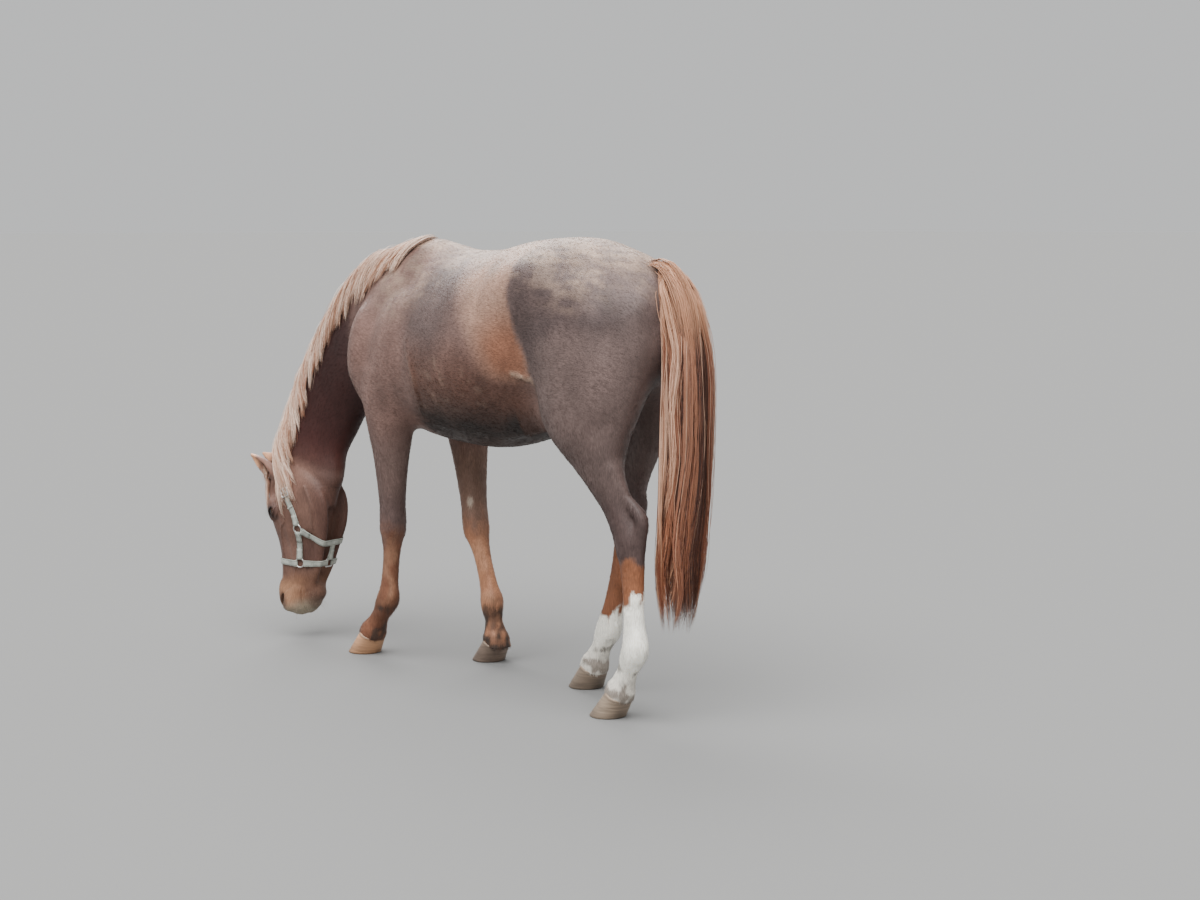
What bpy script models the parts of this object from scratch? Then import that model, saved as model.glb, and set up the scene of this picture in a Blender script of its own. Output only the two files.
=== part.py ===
"""A chestnut horse grazing, at life size, with the headcollar that it wears.

Metres. X is to its left, Y towards its tail, Z up, and the floor is at Z = 0. The body is one field
of distances, a blend of rounded shapes, from which each part's surface is sampled. Thin cuts part
the neck from the trunk, the head from the neck, each leg from the trunk and each hoof from its leg.
"""

from math import cos, pi, radians, sin, tan

import bmesh
import bpy
import numpy as np
import openvdb
from mathutils import Matrix, Vector

GAP = .0003              # between two parts that touch
MIDDLE_Y = -.214         # the middle of its length, which becomes the origin's Y

# ---- a field of distances, below zero inside the animal

FAR = 1.0        # what the field says where no piece is near
MARGIN = 0.03    # how far past its own box a piece still counts
X, Y, Z = np.eye(3)


def unit(v):
    v = np.asarray(v, float)
    return v / np.linalg.norm(v, axis=-1, keepdims=True)


def soft_union(a, b, width):
    """The nearer of two distances, with a fillet of this width where they meet."""
    h = np.clip(0.5 + 0.5 * (b - a) / width, 0.0, 1.0)
    return b + (a - b) * h - width * h * (1.0 - h)


def spline(rows, steps):
    """The rows as stations of a Catmull-Rom curve, with this many steps between each two."""
    rows = np.asarray(rows, float)
    padded = np.vstack([2 * rows[0] - rows[1], rows, 2 * rows[-1] - rows[-2]])
    stations = []
    for i in range(1, len(padded) - 2):
        before, here, there, after = padded[i - 1:i + 3]
        for t in np.arange(steps) / steps:
            bend = (2 * before - 5 * here + 4 * there - after) * t * t
            twist = (3 * here - before - 3 * there + after) * t ** 3
            stations.append(0.5 * (2 * here + (there - before) * t + bend + twist))
    stations.append(rows[-1])
    return np.array(stations)


def oval(u, v, half_u, half_v, power):
    """How far u, v is from a superellipse, and its radius as a share of the outline's."""
    p = np.abs(u) / half_u + 1e-6
    q = np.abs(v) / half_v + 1e-6
    total = p ** power + q ** power
    share = total ** (1.0 / power)
    steepness = np.hypot(p ** (power - 1) / half_u, q ** (power - 1) / half_v)
    return (share - 1.0) / np.maximum(total ** (1.0 / power - 1.0) * steepness, 1e-6), share


class Piece:
    """One rounded shape of the body: its box, its distance, its fillet, and whether it cuts."""

    def __init__(self, points, reach, distance, blend, cuts):
        self.low = np.min(points - reach, axis=0)
        self.high = np.max(points + reach, axis=0)
        self.distance = distance
        self.blend = blend
        self.cuts = cuts


def ellipsoid(centre, axes, radii, blend, cuts=False):
    centre, axes, radii = (np.asarray(v, float) for v in (centre, axes, radii))

    def distance(p):
        q = (p - centre) @ axes.T
        share = np.sqrt(((q / radii) ** 2).sum(1))
        steepness = np.sqrt(((q / radii ** 2) ** 2).sum(1)) + 1e-9
        return share * (share - 1.0) / steepness

    reach = np.sqrt(((axes * radii[:, None]) ** 2).sum(0))
    return Piece(centre[None], reach, distance, blend, cuts)


def muscle(start, end, width, depth, facing, blend, cuts=False):
    """An ellipsoid from start to end, this wide and this deep, its flat side turned to facing."""
    start, end, facing = (np.asarray(v, float) for v in (start, end, facing))
    along = unit(end - start)
    out = unit(facing - along * (facing @ along))
    radii = (np.linalg.norm(end - start) / 2, width, depth)
    return ellipsoid((start + end) / 2, (along, np.cross(out, along), out), radii, blend, cuts)


def ball(centre, radii, blend, cuts=False):
    return ellipsoid(centre, np.eye(3), np.ones(3) * radii, blend, cuts)


def tube(rows, side, blend, power=2.0, steps=5, cuts=False):
    """Stations of x, y, z, half width, half depth in front and half depth behind, joined by a
    spline. side is the width's direction, one for all the stations or one for each."""
    rows = np.asarray(rows, float)
    sides = np.broadcast_to(np.asarray(side, float), (len(rows), 3))
    path = spline(np.hstack([rows, sides]), steps)
    middle, radii, width = path[:, :3], path[:, 3:6], path[:, 6:9]
    tangent = unit(np.gradient(middle, axis=0))
    last = len(middle) - 1

    def distance(p):
        nearest = np.full(len(p), 1e9)
        station = np.zeros(len(p))
        for i in range(last):
            step = middle[i + 1] - middle[i]
            t = np.clip((p - middle[i]) @ step / (step @ step), 0, 1)
            gap = ((p - middle[i] - t[:, None] * step) ** 2).sum(1)
            closer = gap < nearest
            nearest[closer] = gap[closer]
            station[closer] = i + t[closer]
        below = np.minimum(station.astype(int), last - 1)
        part = (station - below)[:, None]

        def at(values):
            return values[below] * (1 - part) + values[below + 1] * part

        t_axis = unit(at(tangent))
        s_axis = at(width)
        s_axis = unit(s_axis - t_axis * (t_axis * s_axis).sum(1)[:, None])
        f_axis = np.cross(t_axis, s_axis)
        size = at(radii)
        off = p - at(middle)
        u = (off * s_axis).sum(1)
        v = (off * f_axis).sum(1)
        depth = np.where(v >= 0, size[:, 1], size[:, 2])
        gap = oval(u, v, size[:, 0], depth, power)[0]
        beyond = np.abs((off * t_axis).sum(1))
        at_end = ((station <= 0) | (station >= last)) & (beyond > 0)
        return np.where(at_end, np.hypot(np.maximum(gap, 0), beyond), gap)

    return Piece(middle, radii.max(1)[:, None], distance, blend, cuts)


STEEPEST = 1.2    # a loft's slope along its length, at most, as a share of that across it


def loft(rows, origin, axes, blend, steps=6, cuts=False):
    """Sections along the first axis: place, top, bottom, half width, height of the widest part,
    and how square the section is above and below it."""
    stations = spline(rows, steps)
    place = stations[:, 0]
    origin, axes = np.asarray(origin, float), np.asarray(axes, float)

    def share_at(q, s):
        top, bottom, half, widest, above, under = (np.interp(s, place, c) for c in stations.T[1:])
        v = q[:, 2] - widest
        depth = np.maximum(np.where(v >= 0, top - widest, widest - bottom), 1e-3)
        return oval(q[:, 1], v, np.maximum(half, 1e-3), depth, np.where(v >= 0, above, under))

    def distance(p):
        q = (p - origin) @ axes.T
        s = np.clip(q[:, 0], place[0], place[-1])
        beyond = np.abs(q[:, 0] - s)
        gap, share = share_at(q, s)
        step = 2e-3
        along = np.abs(share_at(q, s + step)[1] - share_at(q, s - step)[1]) / (2 * step)
        level = np.abs(gap) < 1e-9
        across = np.abs(np.where(level, 1.0, (share - 1) / np.where(level, 1.0, gap)))
        slope = np.hypot(np.minimum(along, STEEPEST * across), across)
        gap = (share - 1) / np.maximum(slope, 1e-6)
        return np.where(beyond > 0, np.hypot(np.maximum(gap, 0), beyond), gap)

    width = stations[:, 3].max()
    corners = [origin + s * axes[0] + u * axes[1] + v * axes[2]
               for s in (place[0], place[-1])
               for u in (-width, width)
               for v in (stations[:, 2].min(), stations[:, 1].max())]
    return Piece(np.array(corners), 0.0, distance, blend, cuts)


def field(p, pieces):
    """The body's distance at each point, from all the pieces near it."""
    d = np.full(len(p), FAR)
    for piece in pieces:
        reach = piece.blend + MARGIN
        near = ((p > piece.low - reach) & (p < piece.high + reach)).all(1)
        if not near.any():
            continue
        q = p[near]
        outside = np.maximum(np.maximum(piece.low - q, q - piece.high), 0)
        outside = np.sqrt((outside ** 2).sum(1))
        gap = piece.distance(q)
        gap = np.where(outside > 0, np.maximum(gap, outside), gap)
        if piece.cuts:
            d[near] = -soft_union(-d[near], gap, piece.blend)
        else:
            d[near] = soft_union(d[near], gap, piece.blend)
    return d


def normals(p, pieces, step=1e-3):
    """The field's slope at each point, of length one."""
    return unit(np.stack([field(p + step * a, pieces) - field(p - step * a, pieces)
                          for a in (X, Y, Z)], axis=1) + 1e-12)


def settle(p, pieces, height, rounds=4):
    """The points moved along the slope until they are this high over the skin."""
    for _ in range(rounds):
        p = p - normals(p, pieces) * (field(p, pieces) - height)[:, None]
    return p


def skin_of(distance, low, high, voxel, block=8):
    """The surface where distance is zero, as points and quads, sampled in blocks near it."""
    low = np.asarray(low, float)
    count = np.ceil((np.asarray(high) - low) / (voxel * block)).astype(int)
    cells = np.stack(np.meshgrid(*map(np.arange, count), indexing="ij"), -1).reshape(-1, 3)
    middle = low + (cells + 0.5) * voxel * block
    reach = 1.5 * voxel * block
    cells = cells[np.abs(distance(middle)) < reach]
    inner = np.stack(np.meshgrid(*[np.arange(block)] * 3, indexing="ij"), -1).reshape(-1, 3)
    band = 3 * voxel
    grid = openvdb.FloatGrid(band)
    for first in range(0, len(cells), 400):
        group = cells[first:first + 400]
        p = low + (group[:, None, :] * block + inner) * voxel
        d = np.clip(distance(p.reshape(-1, 3)), -band, band).astype(np.float32)
        for cell, values in zip(group, d.reshape(-1, block, block, block)):
            if values.min() < band:
                grid.copyFromArray(values, ijk=tuple(int(c) for c in cell * block))
    grid.gridClass = openvdb.GridClass.LEVEL_SET
    grid.signedFloodFill()
    points, quads = grid.convertToQuads(isovalue=0.0)
    return low + points.astype(float) * voxel, quads


# ---- the trunk, along the back from the breast to the buttocks

TRUNK = (   # y, top, bottom, half width, height of the widest part, squareness above and below
    (-.825, 1.080, 1.000, .030, 1.040, 2.00, 2.0),
    (-.790, 1.150, .935, .095, 1.040, 2.00, 2.0),
    (-.730, 1.250, .890, .155, 1.040, 2.00, 2.0),
    (-.650, 1.385, .865, .180, 1.050, 1.80, 2.1),
    (-.560, 1.460, .840, .200, 1.060, 1.60, 2.1),
    (-.460, 1.482, .815, .222, 1.070, 1.55, 2.1),
    (-.340, 1.468, .797, .245, 1.080, 1.65, 2.1),
    (-.220, 1.447, .788, .266, 1.085, 1.80, 2.1),
    (-.080, 1.448, .785, .283, 1.090, 1.95, 2.1),
    (.040, 1.460, .800, .286, 1.100, 2.00, 2.1),
    (.170, 1.478, .840, .275, 1.120, 2.05, 2.1),
    (.300, 1.488, .885, .250, 1.150, 2.00, 2.1),
    (.420, 1.487, .930, .225, 1.170, 1.85, 2.1),
    (.540, 1.462, .970, .205, 1.180, 1.80, 2.1),
    (.640, 1.430, 1.010, .175, 1.180, 1.85, 2.1),
    (.720, 1.375, 1.050, .120, 1.180, 1.90, 2.0),
    (.775, 1.300, 1.110, .050, 1.190, 2.00, 2.0),
)


def trunk():
    return [loft(TRUNK, (0, 0, 0), (Y, X, Z), .05)]


# ---- the neck, from inside the withers down to the throat

NECK = (    # x, y, z, half width, half depth over, half depth under, turn to the left in degrees
    (.000, -.360, 1.190, .090, .130, .200, 0),
    (.000, -.500, 1.185, .130, .245, .260, 0),
    (.000, -.660, 1.165, .135, .275, .240, 0),
    (.002, -.800, 1.115, .115, .250, .200, 2),
    (.015, -.915, 1.035, .098, .208, .172, 5),
    (.040, -1.000, .935, .086, .178, .152, 8),
    (.070, -1.050, .825, .079, .162, .148, 11),
    (.098, -1.075, .725, .073, .148, .138, 14),
    (.120, -1.080, .640, .066, .138, .150, 16),
    (.133, -1.070, .560, .060, .110, .142, 16),
    (.140, -1.045, .480, .040, .070, .105, 16),
)


def leftward(turn):
    """Its left, once it has turned this many degrees to the left."""
    return np.array([cos(radians(turn)), sin(radians(turn)), 0.0])


def neck():
    return [tube([r[:6] for r in NECK], [leftward(r[6]) for r in NECK], .05, 2.1)]


# ---- the head, which hangs nearly plumb from the poll and looks a little to the left

TURN, LEAN = 15.5, 5.5                # degrees to the left, and chin behind poll
POLL = np.array([.172, -1.242, .662])
LONG, WIDE, DEEP = .955, 1.06, 1.06   # the head's own measures against those written below
H_LEFT = leftward(TURN)
AHEAD = np.cross(H_LEFT, Z)
H_DOWN = -Z * cos(radians(LEAN)) - AHEAD * sin(radians(LEAN))
H_FRONT = AHEAD * cos(radians(LEAN)) - Z * sin(radians(LEAN))

SKULL = (   # place below the poll, face line, jaw line, half width, widest, squareness
    (-.110, -.085, -.150, .026, -.110, 2.0, 2.0),
    (-.070, -.060, -.168, .037, -.100, 2.0, 2.0),
    (-.030, -.032, -.184, .048, -.090, 2.0, 2.0),
    (.020, -.006, -.208, .058, -.085, 2.1, 2.0),
    (.080, .008, -.232, .068, -.075, 2.3, 1.7),
    (.140, .012, -.242, .079, -.068, 2.4, 1.6),
    (.200, .010, -.238, .083, -.066, 2.5, 1.6),
    (.260, .005, -.220, .074, -.070, 2.3, 1.7),
    (.320, .001, -.194, .062, -.078, 2.0, 1.8),
    (.380, .000, -.170, .054, -.078, 1.9, 1.9),
    (.440, .003, -.155, .053, -.074, 1.9, 1.9),
    (.500, .006, -.146, .059, -.067, 2.1, 2.1),
    (.550, .004, -.134, .064, -.062, 2.3, 2.2),
    (.585, -.010, -.122, .058, -.062, 2.3, 2.2),
    (.608, -.042, -.094, .030, -.064, 2.0, 2.0),
)
EYE = (.198, .0775, .050)             # the middle of the left eyeball
EYE_R = .0215


def on_head(down, left, deep):
    """A place on the head: down from the poll, to its left, and deep behind the face line."""
    return POLL + down * LONG * H_DOWN + left * WIDE * H_LEFT - deep * DEEP * H_FRONT


def jaw(side):
    rows = ((.045, .048, .100, .014, .022), (.100, .055, .165, .018, .040),
            (.165, .055, .218, .019, .045), (.250, .050, .224, .018, .038),
            (.330, .040, .205, .016, .028), (.420, .032, .172, .017, .023),
            (.500, .024, .134, .015, .018))
    stations = [(*on_head(s, side * left, deep), half, high, high) for s, left, deep, half, high in rows]
    return tube(stations, H_LEFT, .024)


def half_head(side):
    """The shapes on one side of the skull; side is 1 for its left and -1 for its right."""
    out = H_LEFT * side

    def lump(start, end, width, depth, blend, facing=out, cuts=False):
        start = on_head(start[0], side * start[1], start[2])
        end = on_head(end[0], side * end[1], end[2])
        return muscle(start, end, width, depth, facing, blend, cuts)

    eye = on_head(EYE[0], side * EYE[1], EYE[2])
    return [
        jaw(side),
        lump((.085, .054, .125), (.295, .050, .172), .090, .030, .028),     # cheek
        lump((.215, .064, .086), (.410, .048, .108), .011, .011, .022),     # facial crest
        lump((.020, .050, .075), (.175, .078, .082), .014, .012, .022),     # arch behind the eye
        lump((.145, .074, .036), (.235, .078, .034), .019, .018, .018, out + .6 * H_FRONT),  # brow
        lump((.165, .078, .080), (.245, .070, .076), .013, .013, .018),     # rim under the eye
        ball(eye, EYE_R + .0035, .012),
        ball(on_head(.118, side * .078, .045), (.017, .017, .024), .020, cuts=True),  # hollow
        lump((.265, .046, .145), (.500, .040, .105), .036, .016, .025),     # side of the mouth
        lump((.470, .040, .024), (.588, .050, .048), .031, .019, .018),     # nostril's wing
        lump((.500, .050, .100), (.604, .024, .082), .026, .018, .018),     # upper lip
        lump((.522, .064, .036), (.574, .053, .022), .0085, .018, .006, cuts=True),    # nostril
    ]


def head():
    sized = [(s * LONG, top * DEEP, low * DEEP, half * WIDE, mid * DEEP, above, under)
             for s, top, low, half, mid, above, under in SKULL]
    pieces = [loft(sized, POLL, (H_DOWN, H_LEFT, H_FRONT), .045)]
    pieces += half_head(1) + half_head(-1)
    pieces.append(muscle(on_head(.10, 0, .215), on_head(.43, 0, .150), .036, .024, H_FRONT, .03))
    pieces.append(muscle(on_head(.46, 0, .136), on_head(.588, 0, .124), .042, .026, H_FRONT, .02))
    pieces.append(ball(on_head(.528, 0, .146), (.029, .026, .027), .02))
    return pieces


# ---- the ears, pricked forward

EAR = (     # place from root to tip, half width, half depth, and how far it bellies forward
    (-.18, .020, .019, .000), (.00, .024, .021, .000), (.16, .031, .023, .002),
    (.36, .0355, .023, .003), (.58, .030, .019, .003), (.78, .0190, .013, .001),
    (.92, .0095, .0075, -.001), (1.0, .0045, .0045, -.003),
)
EAR_HOLLOW = (
    (.06, .009, .010, .021), (.16, .018, .016, .021), (.36, .0265, .020, .0195),
    (.58, .0230, .017, .0175), (.78, .0130, .012, .0130), (.92, .0045, .006, .0080),
)


def ear(side):
    root = on_head(.056, side * .050, .036)
    tip = root + H_FRONT * .140 - H_LEFT * side * .020 + Z * .075
    axis = unit(tip - root)
    mouth = H_LEFT * side * .9 + H_FRONT * .1 - Z * .45      # the way the ear opens
    mouth = unit(mouth - axis * (mouth @ axis))
    across = np.cross(axis, mouth)

    def horn(rows, blend, cuts=False):
        stations = [(*(root + (tip - root) * t + mouth * belly), half, deep, deep)
                    for t, half, deep, belly in rows]
        return tube(stations, across, blend, cuts=cuts)

    return [horn(EAR, .010), horn(EAR_HOLLOW, .004, cuts=True)]


# ---- the legs, as it steps: joints by side, 1 for its left and -1 for its right

FORE = {
    1: dict(elbow=(.155, -.525, .900), knee=(.122, -.557, .475),
            fetlock=(.122, -.595, .214), coronet=(.120, -.682, .088)),
    -1: dict(elbow=(-.155, -.500, .900), knee=(-.125, -.402, .465),
             fetlock=(-.122, -.312, .212), coronet=(-.126, -.290, .090)),
}
HIND = {
    1: dict(hip=(.150, .530, 1.240), stifle=(.175, .430, .930), hock=(.120, .700, .580),
            fetlock=(.120, .725, .228), coronet=(.112, .655, .090)),
    -1: dict(hip=(-.150, .490, 1.240), stifle=(-.175, .300, .930), hock=(-.110, .440, .575),
             fetlock=(-.100, .345, .215), coronet=(-.100, .285, .092)),
}
FORELEG = (     # bone, place along it, half width, half depth in front and behind
    ("arm", -.30, .060, .100, .100), ("arm", -.10, .072, .125, .125), ("arm", .06, .070, .110, .120),
    ("arm", .20, .066, .092, .100), ("arm", .38, .058, .070, .076), ("arm", .60, .050, .055, .058),
    ("arm", .80, .045, .046, .048), ("arm", .93, .046, .046, .047),
    ("cannon", .05, .046, .045, .046), ("cannon", .17, .038, .036, .041),
    ("cannon", .34, .029, .028, .039), ("cannon", .58, .0265, .026, .040),
    ("cannon", .80, .029, .028, .044), ("cannon", .97, .037, .036, .050),
    ("pastern", .22, .036, .036, .042), ("pastern", .50, .030, .032, .032),
    ("pastern", .78, .036, .039, .034), ("pastern", 1.0, .046, .050, .042),
    ("pastern", 1.35, .049, .053, .044),
)
HINDLEG = (
    ("thigh", .10, .070, .120, .120), ("thigh", .45, .090, .155, .155), ("thigh", .80, .092, .145, .150),
    ("gaskin", .08, .085, .115, .125), ("gaskin", .30, .070, .088, .090),
    ("gaskin", .52, .055, .064, .066), ("gaskin", .75, .042, .047, .048),
    ("gaskin", .93, .043, .050, .046),
    ("cannon", .04, .045, .050, .046), ("cannon", .14, .041, .044, .042),
    ("cannon", .26, .033, .034, .042), ("cannon", .50, .028, .029, .041),
    ("cannon", .78, .030, .030, .043), ("cannon", .98, .039, .038, .050),
    ("pastern", .22, .037, .038, .042), ("pastern", .50, .031, .033, .032),
    ("pastern", .78, .036, .039, .034), ("pastern", 1.0, .046, .049, .042),
    ("pastern", 1.35, .048, .051, .044),
)


def leg(table, bones, blend):
    stations = []
    for bone, t, *radii in table:
        start, end = bones[bone]
        stations.append((*(start + (end - start) * t), *radii))
    return tube(stations, X, blend, 2.2)


def foreleg(side):
    elbow, knee, fetlock, coronet = map(np.array, FORE[side].values())
    bones = dict(arm=(elbow, knee), cannon=(knee, fetlock), pastern=(fetlock, coronet))
    return [leg(FORELEG, bones, .035)]


def hindleg(side):
    hip, stifle, hock, fetlock, coronet = map(np.array, HIND[side].values())
    behind = stifle + .105 * Y
    bones = dict(thigh=(hip, behind), gaskin=(behind, hock), cannon=(hock, fetlock),
                 pastern=(fetlock, coronet))
    point = hock + (0, .056, .060)                 # the point of the hock
    calf = behind + (hock - behind) * .40 + .060 * Y
    below = hock + (fetlock - hock) * .30 + .034 * Y
    tendon = tube([
        (*calf, .022, .020, .020),
        (*(point + (calf - point) * .45 - .014 * Y), .013, .018, .014),
        (*point, .022, .020, .020),
        (*((point + below) / 2 + .004 * Y), .018, .018, .014),
        (*below, .014, .016, .012),
        (*(below + (fetlock - hock) * .25 - .006 * Y), .010, .010, .008),
    ], X, .03)
    return [leg(HINDLEG, bones, .045), tendon]


def muscles(side):
    """The muscles that the legs hang from, on one side."""
    elbow = np.array(FORE[side]["elbow"])
    stifle = np.array(HIND[side]["stifle"])
    point = np.array([side * .155, -.695, 1.06])            # the point of the shoulder
    out = (side, 0, 0)
    tuck = 0.0 if side > 0 else -.035                       # the leg that is further forward
    return [
        muscle((side * .055, -.43, 1.44), point + (0, .02, -.02), .10, .050, (side, -.2, .3), .06),
        muscle(point + (-side * .01, .03, .17), point + (0, .05, -.15), .075, .066, (side, -.6, 0), .07),
        muscle((side * .150, -.36, 1.27), elbow + (side * .03, .03, .03), .125, .065, out, .06),
        muscle((side * .075, -.77, 1.10), (side * .09, -.62, .90), .065, .065, -Y, .05),
        ball((side * .185, .28, 1.315), (.050, .110, .075), .10),                        # hip
        muscle((side * .100, .06, 1.37), (side * .095, .72, 1.25), .13, .095, (side * .8, 0, 1), .09),
        muscle((side * .135, .53, 1.33), stifle + (side * .01, .07, 0), .165, .100, out, .08),
        ball(stifle + (0, .045, .015), (.065, .075, .09), .06),
        muscle((side * .090, .715 + tuck, 1.30), (side * .125, .64 + tuck * 2.5, .95),
               .075, .080, (side, .6, 0), .07),
        muscle((side * .110, .70 + tuck, 1.16), (side * .130, .60 + tuck * 3.6, .76),
               .055, .070, (side, .4, 0), .07),
        muscle((side * .13, .06, .885), stifle + (-side * .01, .03, .02), .055, .035, out, .07),
    ]


def body():
    """All the flesh but the ears."""
    pieces = trunk() + neck()
    for side in (1, -1):
        pieces += muscles(side) + foreleg(side) + hindleg(side)
    return pieces + head()


# ---- the mane, rooted along the crest and fallen to the left

CREST_FROM, CREST_TO = .70, 7.1       # stations of NECK, from the withers to the poll
STEEP_FROM, STEEP_OVER = .30, .40      # how far the skin faces left where locks begin to drop
LOCK_LENGTHS = ((0, .2, .5, .75, 1), (.20, .28, .31, .33, .37))    # along the crest
LOCK_LEANS = ((0, .25, .5, .75, 1), (.35, .25, .05, -.30, -.62))  # how far locks lean forward


def crest(count, pieces):
    """Places along the crest, and the way to its left at each."""
    rows = spline([(*r[:3], r[4], r[6]) for r in NECK], 10)
    middle, over = rows[:, :3], rows[:, 3]
    left = np.array([leftward(turn) for turn in rows[:, 4]])
    up = np.cross(unit(np.gradient(middle, axis=0)), left)
    tops = middle + up * (over[:, None] + .05)
    station = np.linspace(CREST_FROM, CREST_TO, count) * 10

    def at(values):
        return np.stack([np.interp(station, np.arange(len(values)), c) for c in values.T], 1)

    return settle(at(tops), pieces, 0.0, 8), unit(at(left))


def fall(start, left, lean, length, steps, pieces, height=0.0):
    """The way of locks that start here, go over the crest to the left until the skin is steep,
    then drop and lean forward. Gives their places, one row for each step."""
    p = settle(start, pieces, height)
    rows = [p]
    stride = length[:, None] / (3 * steps)
    drop = unit(-Z - lean[:, None] * Y)
    for _ in range(steps):
        for _ in range(3):
            n = normals(p, pieces)
            steep = np.clip(((n * left).sum(1, keepdims=True) - STEEP_FROM) / STEEP_OVER, 0, 1)
            way = left * (1 - steep) + drop * steep
            way = unit(way - n * (way * n).sum(1, keepdims=True))
            p = settle(p + way * stride, pieces, height, 1)
        rows.append(p)
    return np.array(rows)


# ---- the tail

TAIL = (    # y, z, half width, half depth
    (.640, 1.395, .030, .030), (.690, 1.400, .042, .036), (.732, 1.378, .054, .042),
    (.768, 1.337, .063, .048), (.798, 1.278, .069, .052), (.818, 1.200, .075, .056),
    (.832, 1.080, .082, .064), (.829, .920, .083, .068), (.820, .750, .081, .068),
    (.810, .600, .078, .064), (.801, .480, .066, .052), (.791, .400, .042, .034),
    (.788, .360, .016, .014),
)
TAIL_ENDS = (.285, .30, .27, .335, .29, .36, .31, .275, .33, .30, .345)   # height of each tip


def tail_way(turn, end, steps=9):
    """A lock's way down the outside of the tail, from where it leaves the dock to its tip."""
    path = np.array(TAIL)
    height = np.linspace(1.16, end, steps)
    y = np.interp(height, path[:2:-1, 1], path[:2:-1, 0])
    spread = np.interp(height, (.30, .50, .90, 1.16), (.050, .064, .066, .046))
    return np.column_stack([spread * cos(turn), y + .82 * spread * sin(turn), height])


def tail():
    """The tail's core, and the locks round it that end in ragged tips."""
    stations = [(0, y, z, half, deep, deep) for y, z, half, deep in TAIL]
    pieces = [tube(stations, X, .02, steps=2)]
    for i, end in enumerate(TAIL_ENDS):
        way = tail_way(2 * pi * i / len(TAIL_ENDS), end)
        radii = np.interp(np.arange(len(way)), (0, 2, 6, len(way) - 1), (.020, .034, .030, .008))
        pieces.append(tube(np.column_stack([way, radii, radii, radii]), X, .018, steps=2))
    return pieces


# ---- the headcollar of flat webbing: places as on_head takes them

WEB, WEB_THICK = .022, .003
RING, RING_WIRE = .0165, .0028
UPPER_RING = (.269, .073, .143)
LOWER_RING = (.402, .057, .127)
CROWN_WAY = ((.269, .073, .143), (.212, .083, .138), (.157, .084, .117), (.100, .078, .098),
             (.046, .068, .079), (.004, .050, .046), (-.022, .024, .014), (-.030, 0, .004))
CROWN_STEPS = 2                        # places of the way from one of these to the next
THROAT_SLOPE = (.063, .089)            # down and deep, from the upper rings to under the jaw
NOSE_MIDDLE, NOSE_SLOPE = (.4025, 0, .085), (.012, .170)
BUCKLE = .36                           # where the buckle sits on the left half of the crown


def convex(outline):
    """The corners of the convex outline round points in a plane, counter-clockwise."""
    order = sorted(map(tuple, outline))

    def half(points):
        chain = []
        for p in points:
            while len(chain) > 1:
                a, b = chain[-2:]
                if (b[0] - a[0]) * (p[1] - a[1]) - (b[1] - a[1]) * (p[0] - a[0]) > 0:
                    break
                chain.pop()
            chain.append(p)
        return chain[:-1]

    return np.array(half(order) + half(order[::-1]))


def girth(middle, slope, start, end, count, pieces, height):
    """Webbing drawn tight round the head, in the plane of its left and of a slope down and deep:
    places from one angle to another, where 0 is its left and 90 is along the slope."""
    centre = on_head(*middle)
    u, v = H_LEFT, unit(slope[0] * LONG * H_DOWN - slope[1] * DEEP * H_FRONT)
    angles = np.radians(np.arange(0, 360, 3))
    ways = np.cos(angles)[:, None] * u + np.sin(angles)[:, None] * v
    reach = np.full(len(angles), .22)
    for _ in range(60):
        reach = reach - np.clip(field(centre + ways * reach[:, None], pieces) - height, -.004, .004)
    corners = convex(np.stack([reach * np.cos(angles), reach * np.sin(angles)], 1))
    turns = np.degrees(np.arctan2(corners[:, 1], corners[:, 0])) % 360
    corners = corners[np.argsort(turns)]
    closed = np.vstack([corners, corners[:1]])
    fine = np.concatenate([np.linspace(a, b, 40, endpoint=False) for a, b in zip(closed, closed[1:])])
    turns = (np.degrees(np.arctan2(fine[:, 1], fine[:, 0])) - start) % 360
    order = np.argsort(turns)
    kept = fine[order][turns[order] <= end - start]
    run = np.concatenate([[0], np.cumsum(np.linalg.norm(np.diff(kept, axis=0), axis=1))])
    even = np.linspace(0, run[-1], count)
    return centre + np.stack([np.interp(even, run, c) for c in kept.T], 1) @ np.array([u, v])


def straps(pieces, height):
    """Each strap's way over the skin, at the middle of the webbing's thickness."""
    half = spline([on_head(*place) for place in CROWN_WAY], CROWN_STEPS)
    half = settle(half, pieces, height)
    mirrored = [on_head(s, -left, deep) for s, left, deep in CROWN_WAY]
    other = settle(spline(mirrored, CROWN_STEPS), pieces, height)
    ways = dict(crown=np.vstack([half, other[::-1][1:]]))
    for name, side in (("left", 1), ("right", -1)):
        ends = [np.array([s, side * left, deep]) for s, left, deep in (UPPER_RING, LOWER_RING)]
        cheek = [on_head(*(ends[0] + (ends[1] - ends[0]) * t)) for t in np.linspace(0, 1, 6)]
        ways["cheek_" + name] = settle(np.array(cheek), pieces, height)
    upper = (UPPER_RING[0], 0, UPPER_RING[2])
    ways["throat"] = girth(upper, THROAT_SLOPE, 0, 180, 15, pieces, height)
    at_ring = np.degrees(np.arctan2(LOWER_RING[2] - NOSE_MIDDLE[2], LOWER_RING[1]))
    nose = (NOSE_MIDDLE, NOSE_SLOPE)
    ways["chin_left"] = girth(*nose, at_ring, 90, 7, pieces, height)
    ways["chin_right"] = girth(*nose, 90, 180 - at_ring, 7, pieces, height)
    ways["nose"] = girth(*nose, 180 - at_ring, 360 + at_ring, 13, pieces, height)
    ways["chin_strap"] = np.linspace(ways["throat"][7], ways["chin_left"][-1], 4)
    return ways


# ---- the cuts between the parts

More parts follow.
